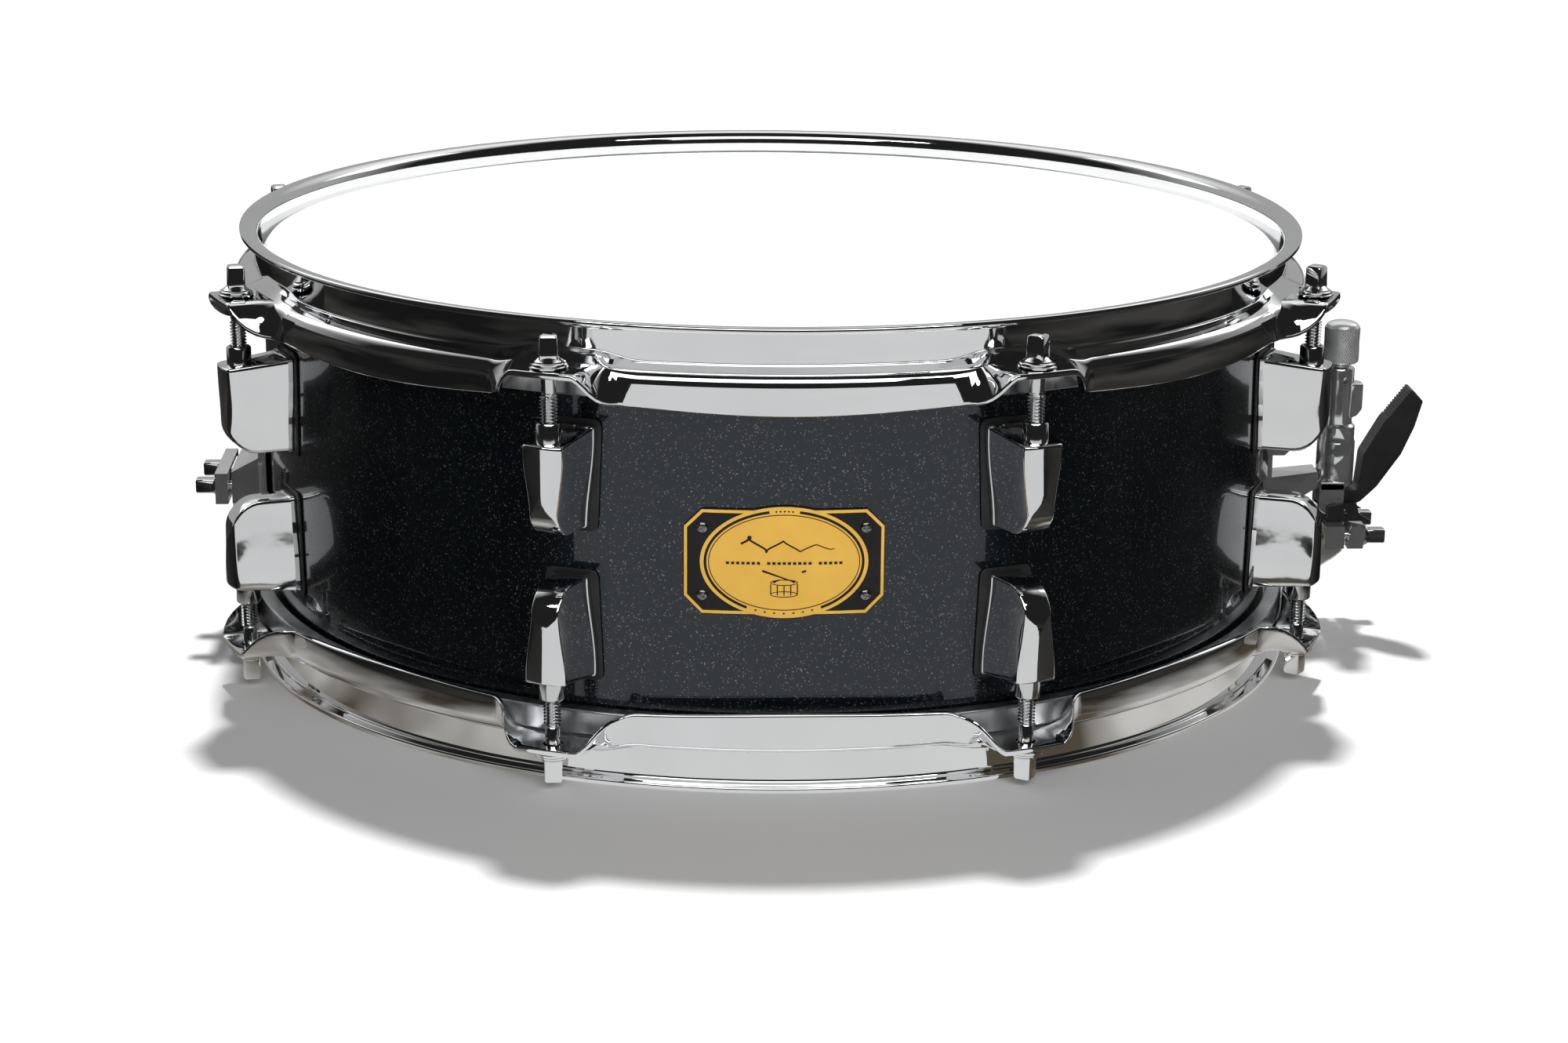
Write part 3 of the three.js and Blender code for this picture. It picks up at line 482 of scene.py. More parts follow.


# The film is held at the bearing edge, and its collar hangs outside the shell; the head is not attached to a
# body.
def makeHead(name, node, side, material):
    s = headShape
    low, high = inDrum(node)
    top = high.z if side > 0 else -low.z
    hem = low.z if side > 0 else -high.z
    film = s["batterFilm"] if side > 0 else s["snareFilm"]
    edge = wrapRadius - s["edgeInset"]
    collar = wrapRadius + s["fleshGap"] - 0.9
    outside = roundedOutline([(edge, top), (wrapRadius - 0.25, top - 1.8), (wrapRadius - 0.15, halfDepth - 6.9),
                              (collar, halfDepth - 8.0), (collar, hem)], [0.01, 1.2, 0.6, 0.6, 0.01])
    inside = [(r - film, z - film) for r, z in reversed(outside)]
    flat = [(edge * t, top) for t in (0.0, 0.2, 0.4, 0.6, 0.8, 0.9, 0.96)]
    under = [(r, z - film) for r, z in reversed(flat)]
    mesh = bmesh.new()
    addLathe(mesh, flat + outside + inside + under, shellShape["segments"])
    piece = finishPiece(name, mesh, None, material, stationMatrix(90, side), stands=[node], sharp=60)
    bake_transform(piece)


def makeFleshHoop(name, node, side, body):
    low, high = inDrum(node)
    bottom, top = (low.z, high.z) if side > 0 else (-high.z, -low.z)
    inner = wrapRadius + headShape["fleshGap"]
    outer = inner + headShape["fleshWidth"]
    corners = [(inner, bottom), (outer, bottom), (outer, top), (inner, top)]
    outline = roundedOutline(corners, [0.5, 0.8, 0.8, 0.5])
    mesh = bmesh.new()
    addLathe(mesh, outline, shellShape["segments"], closedProfile=True)
    finishPiece(name, mesh, body, hoopAluminium, stationMatrix(90, side), stands=[node], sharp=50)


makeShell()
makeWrap()
makeVentGrommet()
makeHead("coatedHead", "batter_head", 1, coatedFilm)
makeHead("snareSideFilm", "snare_side_head", -1, hazyFilm)
makeFleshHoop("upperFleshRing", "batter_flesh_hoop", 1, "batter_hoop")
makeFleshHoop("lowerFleshRing", "snare_side_flesh_hoop", -1, "snare_side_hoop")
print("shell, wrap and heads made")


# Ear and bend are half angles in degrees; the skirt bends up flat into each ear.
hoopShape = {"sheet": 2.0, "wallOut": 180.7, "lipOut": 185.4, "shoulder": 64.8, "shoulderOut": 187.5,
             "skirtDepth": 9.5, "skirtSwell": 2.2, "bayDrop": 2.0,
             "earTop": 61.2, "earReach": 201.2, "earHalf": 2.8, "earBend": 4.9, "earHole": 3.2,
             "gateHalf": 22.0, "gateLow": 40.0}


def hoopSection(offset):  # offset in degrees from the nearest ear
    s = hoopShape
    size = abs(offset)
    ear = 1 - smoothStep(s["earHalf"], s["earHalf"] + s["earBend"], size)
    bay = 1 - ear
    swell = math.sin(math.pi * size * positions / 360) ** 2
    reach = 1 - smoothStep(s["earHalf"] + 0.3, s["earHalf"] + s["earBend"] * 0.75, size)
    bend = math.pi / 2 * bay
    t = s["sheet"]
    drop = s["bayDrop"] * bay
    pivotR, pivotZ = s["shoulderOut"] - t, s["earTop"] - t - drop
    straight = s["skirtDepth"] + s["skirtSwell"] * swell - drop
    shoulder = s["shoulder"] - drop * 1.3
    length = straight + (s["earReach"] - pivotR - straight) * reach
    along = (math.cos(bend), -math.sin(bend))
    out = (math.sin(bend), math.cos(bend))
    tip = (pivotR + along[0] * length, pivotZ + along[1] * length)
    wallIn = s["wallOut"] - t
    points = [
        (wallIn, lipTop),
        (wallIn, shoulder - 1.2),
        (pivotR - 2.4 + 1.6 * bay, pivotZ + 0.9 + 1.1 * bay),
        (pivotR, pivotZ),
        tip,
        (tip[0] + out[0] * t, tip[1] + out[1] * t),
        (pivotR + out[0] * t + 0.4 * ear, pivotZ + out[1] * t + 1.9 * bay),
        (s["wallOut"] + 1.0 + 1.4 * ear, shoulder - 0.3 - 1.3 * ear),
        (s["wallOut"], shoulder),
        (s["wallOut"], lipTop - t),
        (s["lipOut"], lipTop - t),
        (s["lipOut"], lipTop),
    ]
    radii = [4.4, 1.0, 0.8, 0.4 + 0.6 * bay, 0.45, 0.95, 1.2 + 3.2 * bay, 0.5 + 0.3 * ear, 0.5, 1.4, 0.8, 1.1]
    return roundedOutline(points, radii)


def gateCutter(direction, side):  # an opening for the snare wires' strap under the hoop's lip
    s = hoopShape
    half, low, high = s["gateHalf"], s["gateLow"], lipTop - s["sheet"] - 0.05
    reach = sorted((direction * (s["wallOut"] - 12), direction * (s["shoulderOut"] + 6)))
    outline = roundedOutline([(-half, low), (half, low), (half, high), (-half, high)], [0.1, 0.1, 1.6, 1.6])
    gate = bmesh.new()
    addPrism(gate, outline, *reach, axis="X")
    bmesh.ops.transform(gate, matrix=stationMatrix(90, side), verts=gate.verts)
    return gate


def makeHoop(name, node, side, body):
    s = hoopShape
    bay = 360 / positions
    edge = s["earHalf"] + s["earBend"]
    fine = [edge * i / 18 for i in range(19)]
    coarse = [edge + (bay / 2 - edge) * i / 9 for i in range(1, 10)]
    half = fine + coarse
    offsets = [-v for v in reversed(half[1:-1])] + half
    sections = []
    for angle in rodAngles:
        for offset in offsets:
            turn = math.radians(angle + offset)
            sections.append([(r * math.sin(turn), -r * math.cos(turn), z) for r, z in hoopSection(offset)])
    mesh = bmesh.new()
    addLoft(mesh, sections, closed=True)
    cutters = [cutterPost(s["earHole"], s["earTop"] - 4, s["earTop"] + 2, angle, side, rodCircle)
               for angle in rodAngles]
    if side < 0:
        cutters += [gateCutter(direction, side) for direction in (-1, 1)]
    finishPiece(name, mesh, body, chrome, stationMatrix(90, side), stands=[node], sharp=48,
                cutters=cutters)


makeHoop("upperHoop", "batter_hoop", 1, "batter_hoop")
makeHoop("lowerHoop", "snare_side_hoop", -1, "snare_side_hoop")
print("hoops made")


lugShape = {"bottom": 8.2, "top": 40.0, "back": 1.0, "flange": 1.5, "flangeHalf": 8.75, "bodyHalf": 8.5,
            "noseOut": 201.3, "noseHalf": 6.8, "noseTop": 38.0, "lowerTaper": 2.2, "kneeRise": 14.0,
            "footOut": 190.5, "noseBulge": 0.75, "noseCorner": 1.5, "edge": 0.55, "gasketHalf": 10.6,
            "gasketThick": 0.8, "gasketLow": 6.2, "gasketHigh": 42.4, "bore": 3.6}


def lugHalfOutline(share, inset, steps=10):  # from the base to the middle of the nose, [out, across]
    s = lugShape
    back = wrapRadius + s["back"] + s["flange"]
    taper = s["lowerTaper"] * (1 - share)
    wide = s["bodyHalf"] - taper * 1.2 - inset
    nose = s["noseHalf"] - taper - inset
    front = s["noseOut"] - s["noseBulge"] - inset
    corner = s["noseCorner"]
    points = []
    for i in range(steps + 1):
        t = i / steps
        points.append((back + (front - corner - back) * t, wide + (nose - wide) * (t ** 0.85)))
    for i in range(1, 6):
        a = math.pi / 2 * i / 5 * 0.86
        points.append((front - corner + corner * math.sin(a), nose - corner * (1 - math.cos(a))))
    last = points[-1]
    for i in range(1, 6):
        t = i / 5
        rise = (front + s["noseBulge"] - last[0]) * math.sin(t * math.pi / 2)
        points.append((last[0] + rise, last[1] * (1 - t)))
    return points


def lugSections(count=16):  # from the foot to the top, with both ends rounded over
    s = lugShape
    back = wrapRadius + s["back"] + s["flange"]
    depth = s["noseOut"] - back
    e = s["edge"]
    levels = [(0, e, 0), (0, e * 0.3, e * 0.3)] + [(i / count, 0, 0) for i in range(1, count)]
    levels += [(1, e * 0.3, -e * 0.3), (1, e, 0)]
    levels.insert(2, (0, 0, e))
    levels.insert(-2, (1, 0, -e))
    sections = []
    for share, inset, lift in levels:
        half = lugHalfOutline(smoothStep(0, 0.9, share), inset)
        ring = []
        for out, across in half + [(o, -a) for o, a in reversed(half[:-1])]:
            reach = (out - back) / depth
            past = max(0.0, (out - s["footOut"]) / (s["noseOut"] - s["footOut"]))
            low = s["bottom"] + s["kneeRise"] * (1 - math.sqrt(max(0.0, 1 - min(past, 1.0) ** 2)))
            high = s["top"] - (s["top"] - s["noseTop"]) * reach
            ring.append((out, across, low + (high - low) * share + lift))
        sections.append(ring)
    return sections


def closeAcross(mesh, ring):  # caps a ring that mirrors across y = 0 with strips
    count = len(ring)
    for i in range(count // 2):
        first, second = ring[i], ring[i + 1]
        third, fourth = ring[count - 2 - i], ring[count - 1 - i]
        corners = list(dict.fromkeys((first, second, third, fourth)))
        if len(corners) > 2:
            mesh.faces.new(corners)


def lugBody():
    mesh = bmesh.new()
    rings = addLoft(mesh, lugSections(), caps=False)
    closeAcross(mesh, rings[0])
    closeAcross(mesh, rings[-1])
    return mesh


def lugFlange(rows=8):  # a thin foot that follows the body's sides
    s = lugShape
    low, high, half = s["bottom"] - 0.4, s["top"] + 0.5, s["flangeHalf"]
    side = []
    for i in range(rows + 1):
        share = i / rows
        taper = s["lowerTaper"] * 1.2 * (1 - smoothStep(0, 0.9, share))
        side.append((half - taper, low + (high - low) * share))
    along = [0.01] * (rows - 1)
    outline = roundedOutline(side + [(-y, z) for y, z in reversed(side)], [1.4, *along, 1.2, 1.2, *along, 1.4])
    mesh = bmesh.new()
    back = wrapRadius + s["back"]
    addPrism(mesh, outline, back, back + s["flange"], "X")
    return mesh


def lugGasket():  # bent round the shell
    s = lugShape
    half, low, high = s["gasketHalf"], s["gasketLow"], s["gasketHigh"]
    outline = roundedOutline([(-half + 1.6, low), (half - 1.6, low), (half, high), (-half, high)],
                             [3.0, 3.0, 3.2, 3.2], 6)
    rings = []
    for lift in (0.0, s["gasketThick"]):
        radius = wrapRadius + 0.1 + lift
        rings.append([(math.sqrt(radius ** 2 - u * u), u, v) for u, v in outline])
    mesh = bmesh.new()
    addLoft(mesh, rings)
    return mesh


mountShape = {"washer": 5.2, "washerThick": 0.8, "hex": 3.6, "hexHigh": 2.7, "gap": 0.1}


def addMountScrew(mesh, height, direction=1):  # a hex head on its washer, inside the shell
    s = mountShape
    start = shellInside - s["gap"]
    middle = start - s["washerThick"]
    end = middle - s["hexHigh"]
    for radius, count, near, far in ((s["washer"], 20, middle, start), (s["hex"], 6, end, middle)):
        reach = sorted((direction * near, direction * far))
        addPrism(mesh, circle(radius, count, (0, height)), *reach, axis="X")


def makeLug(number, angle, side, prefix, node):
    s = lugShape
    matrix = stationMatrix(angle, side)
    finishPiece(f"{prefix}LugGasket{number}", lugGasket(), "drum", gasketRubber, matrix,
                bevel=0.45)
    finishPiece(f"{prefix}LugFlange{number}", lugFlange(), "drum", castChrome, matrix, bevel=0.35)
    bore = cutterPost(s["bore"], 14, 46, angle, side, rodCircle, segments=24)
    finishPiece(f"{prefix}Lug{number}", lugBody(), "drum", castChrome, matrix, stands=[node],
                sharp=50, cutters=[bore])
    nut = bmesh.new()
    addLathe(nut, [(2.95, 24), (3.5, 24), (3.5, s["noseTop"] - 1.2), (4.1, s["noseTop"] - 1.0), (4.1, 43.9),
                   (3.7, 44.4), (2.95, 44.4)], 32, (rodCircle, 0), closedProfile=True)
    finishPiece(f"{prefix}SwivelNut{number}", nut, "drum", rodChrome, matrix, sharp=40)
    screws = bmesh.new()
    for height in (s["bottom"] + 6, s["top"] - 7):
        addMountScrew(screws, height)
    finishPiece(f"{prefix}LugScrews{number}", screws, "drum", wireSteel, matrix, bevel=0.2)


for number, angle in enumerate(rodAngles, 1):
    makeLug(number, angle, 1, "upper", f"batter_lug_{number}")
    makeLug(number, angle, -1, "lower", f"snare_side_lug_{number}")
print("lugs made")


rodShape = {"pitch": 1.058, "outer": 2.9, "root": 2.1, "shank": 2.35, "threadTop": 53.5, "bottom": 18.5,
            "washerLow": 61.4, "headHalf": 2.75, "headTop": 71.7, "headTurn": 37, "around": 20,
            "stepsPerTurn": 5}


def rodThread():
    s = rodShape
    long = s["threadTop"] - s["bottom"]
    steps = int(long / s["pitch"] * s["stepsPerTurn"])
    rings = []
    for i in range(steps + 1):
        z = s["bottom"] + long * i / steps
        fade = max(min(1.0, (s["threadTop"] - z) / s["pitch"], (z - s["bottom"] + 0.3) / s["pitch"]), 0.0)
        ring = []
        for k in range(s["around"]):
            a = 2 * math.pi * k / s["around"]
            phase = (z / s["pitch"] - k / s["around"]) % 1.0
            tooth = max(0.0, 1 - abs(phase - 0.5) * 2.6)
            r = s["root"] + (s["outer"] - s["root"]) * tooth * fade
            ring.append((rodCircle + r * math.cos(a), r * math.sin(a), z))
        rings.append(ring)
    for z in (s["threadTop"] + 0.3, s["washerLow"] + 0.4):
        rings.append([(x, y, z) for x, y in circle(s["shank"], s["around"], (rodCircle, 0))])
    mesh = bmesh.new()
    addLoft(mesh, rings)
    return mesh


def rodWashers():
    low, bore = rodShape["washerLow"], 2.4
    mesh = bmesh.new()
    for base, radius, thick in ((low, 6.05, 1.0), (low + 1.05, 5.55, 0.85)):
        profile = [(bore, base), (radius - 0.35, base), (radius, base + 0.25), (radius, base + thick - 0.25),
                   (radius - 0.35, base + thick), (bore, base + thick)]
        addLathe(mesh, profile, 32, (rodCircle, 0), closedProfile=True)
    return mesh


def rodHead(turn):
    s = rodShape
    low, top, half = s["washerLow"], s["headTop"], s["headHalf"]
    mesh = bmesh.new()
    addLathe(mesh, [(2.2, low + 1.95), (4.5, low + 1.95), (4.6, low + 2.25), (4.0, low + 2.6), (3.4, low + 3.2),
                    (2.2, low + 3.9)], 32, (rodCircle, 0))
    square = roundedOutline([(-half, -half), (half, -half), (half, half), (-half, half)], 0.7, 3)
    c, d = math.cos(turn), math.sin(turn)
    sections = []
    for z, grow in ((low + 2.4, 1.06), (top - 0.9, 1.0), (top - 0.25, 0.86), (top, 0.55)):
        sections.append([(rodCircle + (u * c - v * d) * grow, (u * d + v * c) * grow, z) for u, v in square])
    addLoft(mesh, sections)
    return mesh


def makeRod(number, angle, side, prefix, node, body):
    matrix = stationMatrix(angle, side)
    finishPiece(f"{prefix}RodThread{number}", rodThread(), body, rodChrome, matrix, stands=[node],
                sharp=50)
    finishPiece(f"{prefix}RodWashers{number}", rodWashers(), body, chrome, matrix, sharp=40)
    turn = math.radians(number * rodShape["headTurn"])  # each head stands at its own angle
    finishPiece(f"{prefix}RodHead{number}", rodHead(turn), body, chrome, matrix, sharp=40)


for number, angle in enumerate(rodAngles, 1):
    makeRod(number, angle, 1, "upper", f"batter_tension_rod_{number}", f"batter_rod_{number}")
    makeRod(number, angle, -1, "lower", f"snare_side_tension_rod_{number}", f"snare_side_rod_{number}")
print("tension rods made")


badgeShape = {"width": 63.0, "height": 34.0, "corner": 5.7, "ovalWidth": 52.8, "ovalHeight": 36.4,
              "plate": 0.6, "inlay": 0.14, "glue": 0.15, "rim": 0.3, "border": 0.95, "ringInset": 1.35,
              "ring": 0.85, "lineInset": 2.75, "line": 0.28, "turn": -0.72, "lower": -0.8, "screwX": 25.4,
              "screwZ": 10.9, "screwTurn": 20}


def ovalOutline(width, height, count, centre=(0, 0)):
    return [(centre[0] + width / 2 * u, centre[1] + height / 2 * v) for u, v in circle(1, count)]


def badgeMatrix():
    return stationMatrix(badgeShape["turn"] + 90) @ Matrix.Translation((0, 0, badgeShape["lower"]))


def wrapOn(u, v, lift):  # a flat badge point bent round the shell, at the front
    radius = wrapRadius + badgeShape["glue"] + lift
    turn = u / radius
    return (radius * math.sin(turn), -radius * math.cos(turn), v)


def addBentSheet(mesh, outline, low, high, hole=None, rows=8):
    middle = Vector((sum(p[0] for p in outline), sum(p[1] for p in outline))) / len(outline)
    inner = hole or [(middle.x + (u - middle.x) * 0.03, middle.y + (v - middle.y) * 0.03) for u, v in outline]
    layers = []
    for lift in (low, high):
        layers.append([[wrapOn(a[0] + (b[0] - a[0]) * k / rows, a[1] + (b[1] - a[1]) * k / rows, lift)
                        for a, b in zip(outline, inner)] for k in range(rows + 1)])
    grids = [[[mesh.verts.new(p) for p in ring] for ring in layer] for layer in layers]
    count = len(outline)
    for i in range(count):
        k = (i + 1) % count
        for layer in grids:
            for first, second in zip(layer, layer[1:]):
                mesh.faces.new((first[i], first[k], second[k], second[i]))
        for row in ([0, -1] if hole else [0]):
            mesh.faces.new((grids[0][row][i], grids[0][row][k], grids[1][row][k], grids[1][row][i]))
    if not hole:
        for layer in grids:
            mesh.faces.new(layer[-1])


def badgeOutline(grow):  # the octagon and the oval as one outline
    s = badgeShape
    w, h, c = s["width"] / 2 + grow, s["height"] / 2 + grow, s["corner"] + grow * 0.586
    a, b = s["ovalWidth"] / 2 + grow, s["ovalHeight"] / 2 + grow
    corners = [math.atan2(h - c, w), math.atan2(h, w - c)]
    corners += [math.pi - c for c in corners] + [math.pi + c for c in corners] + [-c for c in corners]
    turns = sorted([2 * math.pi * i / 200 for i in range(200)] + [t % (2 * math.pi) for t in corners])
    points = []
    for turn in turns:
        du, dv = math.cos(turn), math.sin(turn)
        oval = 1 / math.sqrt((du / a) ** 2 + (dv / b) ** 2)
        box = min(w / max(abs(du), 1e-6), h / max(abs(dv), 1e-6), (w + h - c) / (abs(du) + abs(dv)))
        reach = max(oval, box)
        points.append((du * reach, dv * reach))
    return points


def octagonOutline(grow):
    s = badgeShape
    w, h, c = s["width"] / 2 + grow, s["height"] / 2 + grow, s["corner"] + grow * 0.586
    corners = [(w, -h + c), (w, h - c), (w - c, h), (-w + c, h), (-w, h - c), (-w, -h + c), (-w + c, -h),
               (w - c, -h)]
    points = []
    for i, corner in enumerate(corners):
        after = corners[(i + 1) % 8]
        points += [(corner[0] + (after[0] - corner[0]) * k / 12, corner[1] + (after[1] - corner[1]) * k / 12)
                   for k in range(12)]
    return points


def addStroke(mesh, path, half, low, high):  # a line of even width along a path on the badge
    sections = []
    for i, (u, v) in enumerate(path):
        before, after = Vector(path[max(i - 1, 0)]), Vector(path[min(i + 1, len(path) - 1)])
        along = (after - before).normalized()
        t = i / (len(path) - 1)
        wide = (half[0] + (half[1] - half[0]) * t) if isinstance(half, tuple) else half
        nu, nv = -along.y * wide, along.x * wide
        sections.append([wrapOn(u - nu, v - nv, low), wrapOn(u + nu, v + nv, low),
                         wrapOn(u + nu, v + nv, high), wrapOn(u - nu, v - nv, high)])
    addLoft(mesh, sections)


def addArc(mesh, width, height, start, end, half, low, high, count=90):
    path = []
    for i in range(count + 1):
        turn = math.radians(start + (end - start) * i / count)
        path.append((width / 2 * math.cos(turn), height / 2 * math.sin(turn)))
    addStroke(mesh, path, half, low, high)


def addFlourish(art, low, high, count=120):
    path = []
    for i in range(count):
        t = i / (count - 1)
        swing = 2.6 * math.sin(t * 5.5 * math.pi) * (1 - t) ** 0.6
        path.append((-13.5 + 29 * t + 1.6 * math.sin(t * 11 * math.pi) * (1 - t), 6.0 + swing - 1.5 * t))
    addStroke(art, path, (0.34, 0.14), low, high)


def addDashes(art, low, high):  # three groups of dashes in one row
    for i in range(23):
        u = -17.6 + 35.2 * i / 22
        if i not in (7, 17):
            addStroke(art, [(u - 0.5, -0.2), (u + 0.5, -0.2)], 0.42, low, high)


def addSmallDrum(art, low, high):  # two rims, five posts and two sticks
    for v in (-6.4, -10.2):
        addBentSheet(art, ovalOutline(8.6, 2.0, 40, (0, v)), low, high, rows=1,
                     hole=ovalOutline(7.9, 1.5, 40, (0, v)))
    for u in (-4.15, -2.1, 0.0, 2.1, 4.15):
        front = abs(u) < 3
        addStroke(art, [(u, -6.9 - 0.3 * front), (u, -10.0 - 0.5 * front)], 0.17, low, high)
    for way in (-1, 1):
        addStroke(art, [(way * -6.8, -2.6), (way * 2.6, -6.0)], (0.34, 0.17), low, high + 0.02 * way)
        addBentSheet(art, ovalOutline(1.1, 0.8, 16, (way * 3.0, -6.1)), low, high, rows=1)


def makeBadgeArt(base):
    s = badgeShape
    art = bmesh.new()
    low, high = base - 0.03, base + 0.05
    inset = s["ringInset"] + s["ring"] / 2
    wide, tall = s["ovalWidth"] - inset * 2, s["ovalHeight"] - inset * 2
    for start, end in ((-62, 79), (101, 242)):
        addArc(art, wide, tall, start, end, s["ring"] / 2, low, high)
    for turn in (84, 87, 90, 93, 96, -111, -104, -97, -90, -83, -76, -69):  # dots in the ring's two gaps
        centre = (wide / 2 * math.cos(math.radians(turn)), tall / 2 * math.sin(math.radians(turn)))
        addBentSheet(art, ovalOutline(0.7, 0.55, 12, centre), low, high, rows=1)
    wide, tall = s["ovalWidth"] - s["lineInset"] * 2, s["ovalHeight"] - s["lineInset"] * 2
    addBentSheet(art, ovalOutline(wide, tall, 120), low, high, rows=1,
                 hole=ovalOutline(wide - s["line"] * 2, tall - s["line"] * 2, 120))
    addFlourish(art, low, high)
    addDashes(art, low, high)
    addSmallDrum(art, low, high)
    finishPiece("badgeArt", art, "drum", badgeBlack, badgeMatrix(), sharp=50)


def makeBadgeScrew(number, u, v):  # u and v say which corner
    s = badgeShape
    screw = bmesh.new()
    outward = Matrix.Rotation(math.pi / 2, 4, "Y")
    addLathe(screw, [(1.85, 0.0), (1.85, 0.3), (1.55, 0.72), (0.85, 0.98), (0, 1.04)], 32)
    bmesh.ops.transform(screw, matrix=outward, verts=screw.verts)
    angle = s["turn"] + u * math.degrees(s["screwX"] / wrapRadius)
    seat = (wrapRadius + s["glue"] + s["plate"], 0, s["lower"] + v * s["screwZ"])
    place = stationMatrix(angle) @ Matrix.Translation(seat)
    outline = [(1.15, -0.2), (1.15, 0.2), (0.2, 0.2)]
    for x, y in ((0, 1), (-1, 0), (0, -1)):  # the other three arms of the cross
        outline += [(a * x - b * y, a * y + b * x) for a, b in outline[:3]]
    cross = bmesh.new()
    addPrism(cross, outline, 0.45, 1.3)
    spin = Matrix.Rotation(math.radians(35 + s["screwTurn"] * number), 4, "Z")
    bmesh.ops.transform(cross, matrix=place @ outward @ spin, verts=cross.verts)
    finishPiece(f"badgeScrew{number}", screw, "drum", screwBlack, place, sharp=40, cutters=[cross])


def makeBadge():
    s = badgeShape
    plate = bmesh.new()
    addBentSheet(plate, badgeOutline(0), 0.0, s["plate"])
    finishPiece("badgePlate", plate, "drum", badgeBlack, badgeMatrix(), stands=["badge"], sharp=50)
    low, top = s["plate"] - 0.05, s["plate"] + s["inlay"]
    inlay = bmesh.new()
    addBentSheet(inlay, octagonOutline(-s["rim"]), low, top, rows=2,
                 hole=octagonOutline(-s["rim"] - s["border"]))
    addBentSheet(inlay, ovalOutline(s["ovalWidth"] - s["rim"], s["ovalHeight"] - s["rim"] * 2, 120), low,
                 top + 0.01)
    finishPiece("badgeInlay", inlay, "drum", badgeYellow, badgeMatrix(), sharp=50)
    makeBadgeArt(top + 0.01)
    for number, (u, v) in enumerate(((-1, -1), (1, -1), (1, 1), (-1, 1)), 1):
        makeBadgeScrew(number, u, v)


makeBadge()
print("badge made")


# "axis" and "pivotOut" are distances out from the drum's axis; heights are from the middle of the shell.
strainerShape = {"axis": 205.3, "top": 19.6, "bottom": -24.0, "bore": 2.45, "upper": 5.2, "ring": 6.4,
                 "lower": 6.8, "ringTop": -1.4, "ringBottom": -7.4, "catchOut": 8.3, "catchTop": 14.0,
                 "catchBottom": 4.4, "catchHalf": 4.0, "pivotOut": 203.8, "pivotZ": -30.0, "leverHalf": 5.0,
                 "earThick": 1.8, "screwHole": 1.1, "holeZ": 14.6, "holeTurn": -71.62}


def makeStrainerColumn():
    s = strainerShape
    column = bmesh.new()
    profile = [
        (s["bore"], s["bottom"]),
        (s["lower"] - 0.4, s["bottom"]),
        (s["lower"], s["bottom"] + 0.5),
        (s["lower"], s["ringBottom"] - 0.3),
        (s["lower"] - 0.2, s["ringBottom"]),
        (s["ring"], s["ringBottom"] + 0.6),
        (s["ring"], s["ringTop"] - 0.4),
        (s["ring"] - 0.4, s["ringTop"]),
        (s["upper"] + 0.1, s["ringTop"] + 0.5),
        (s["upper"], s["ringTop"] + 1.2),
        (s["upper"], s["top"] - 0.5),
        (s["upper"] - 0.4, s["top"]),
        (s["bore"], s["top"]),
    ]
    addLathe(column, profile, 64, (s["axis"], 0), closedProfile=True)
    hole = cutterPost(s["screwHole"], -4, 12, along="X", segments=20)
    bmesh.ops.translate(hole, vec=Vector((s["axis"], 0, s["holeZ"])) * mm, verts=hole.verts)
    turn = Matrix.Rotation(math.radians(s["holeTurn"]), 3, "Z")
    bmesh.ops.rotate(hole, cent=drumCentre + Vector((s["axis"] * mm, 0, 0)), matrix=turn, verts=hole.verts)
    finishPiece("strainerColumn", column, "drum", fittingChrome, stands=["strainer_body"], sharp=40,
                cutters=[hole])


def makeLeverCatch():
    s = strainerShape
    half, low, high = s["catchHalf"], s["catchBottom"], s["catchTop"]
    sections = []
    for out, bottom, top, wide in ((3.5, low - 3.4, high, half), (6.4, low - 2.0, high, half - 0.3),
                                   (s["catchOut"], low, high - 0.2, half - 1.5)):
        outline = roundedOutline([(-wide, bottom), (wide, bottom), (wide, top), (-wide, top)], 0.8)
        sections.append([(s["axis"] + out, y, z) for y, z in outline])
    mesh = bmesh.new()
    addLoft(mesh, sections)
    finishPiece("leverCatch", mesh, "drum", fittingChrome, bevel=0.35)


def makeLeverYoke():  # two ears that hold the lever's pin, under a plate
    s = strainerShape
    yoke = bmesh.new()
    out, z = s["pivotOut"], s["pivotZ"]
    outline = [(out - 4.6, s["bottom"] + 2), (out - 4.6, z - 2), (out - 2.5, z - 3.4), (out + 2.5, z - 3.4),
               (out + 4.2, z), (out + 4.2, s["bottom"] + 2)]
    outline = roundedOutline(outline, [0.6, 1.2, 1.4, 1.6, 1.6, 0.6])
    inner = s["leverHalf"] + 0.4
    outer = inner + s["earThick"]
    for low, high in ((inner, outer), (-outer, -inner)):
        addPrism(yoke, outline, low, high, "Y")
    low, high = s["bottom"] - 0.6, s["bottom"] + 2.4
    plate = [(out - 4.6, low), (out + 4.2, low), (out + 4.2, high), (out - 4.6, high)]
    addPrism(yoke, plate, -outer, outer, "Y")
    finishPiece("leverYoke", yoke, "drum", fittingChrome, bevel=0.3)
    carryNode("lever_pin", wireSteel, 0.25)
    carryNode("strainer_bracket", fittingChrome, 0.9, 24)


knobShape = {"radius": 6.5, "low": 21.4, "high": 34.4, "dome": 2.4, "neck": 3.3, "knurls": 44,
             "knurlDeep": 0.2, "knurlLean": 4.2, "rows": 36, "screwRadius": 2.0, "screwLow": -18.1}


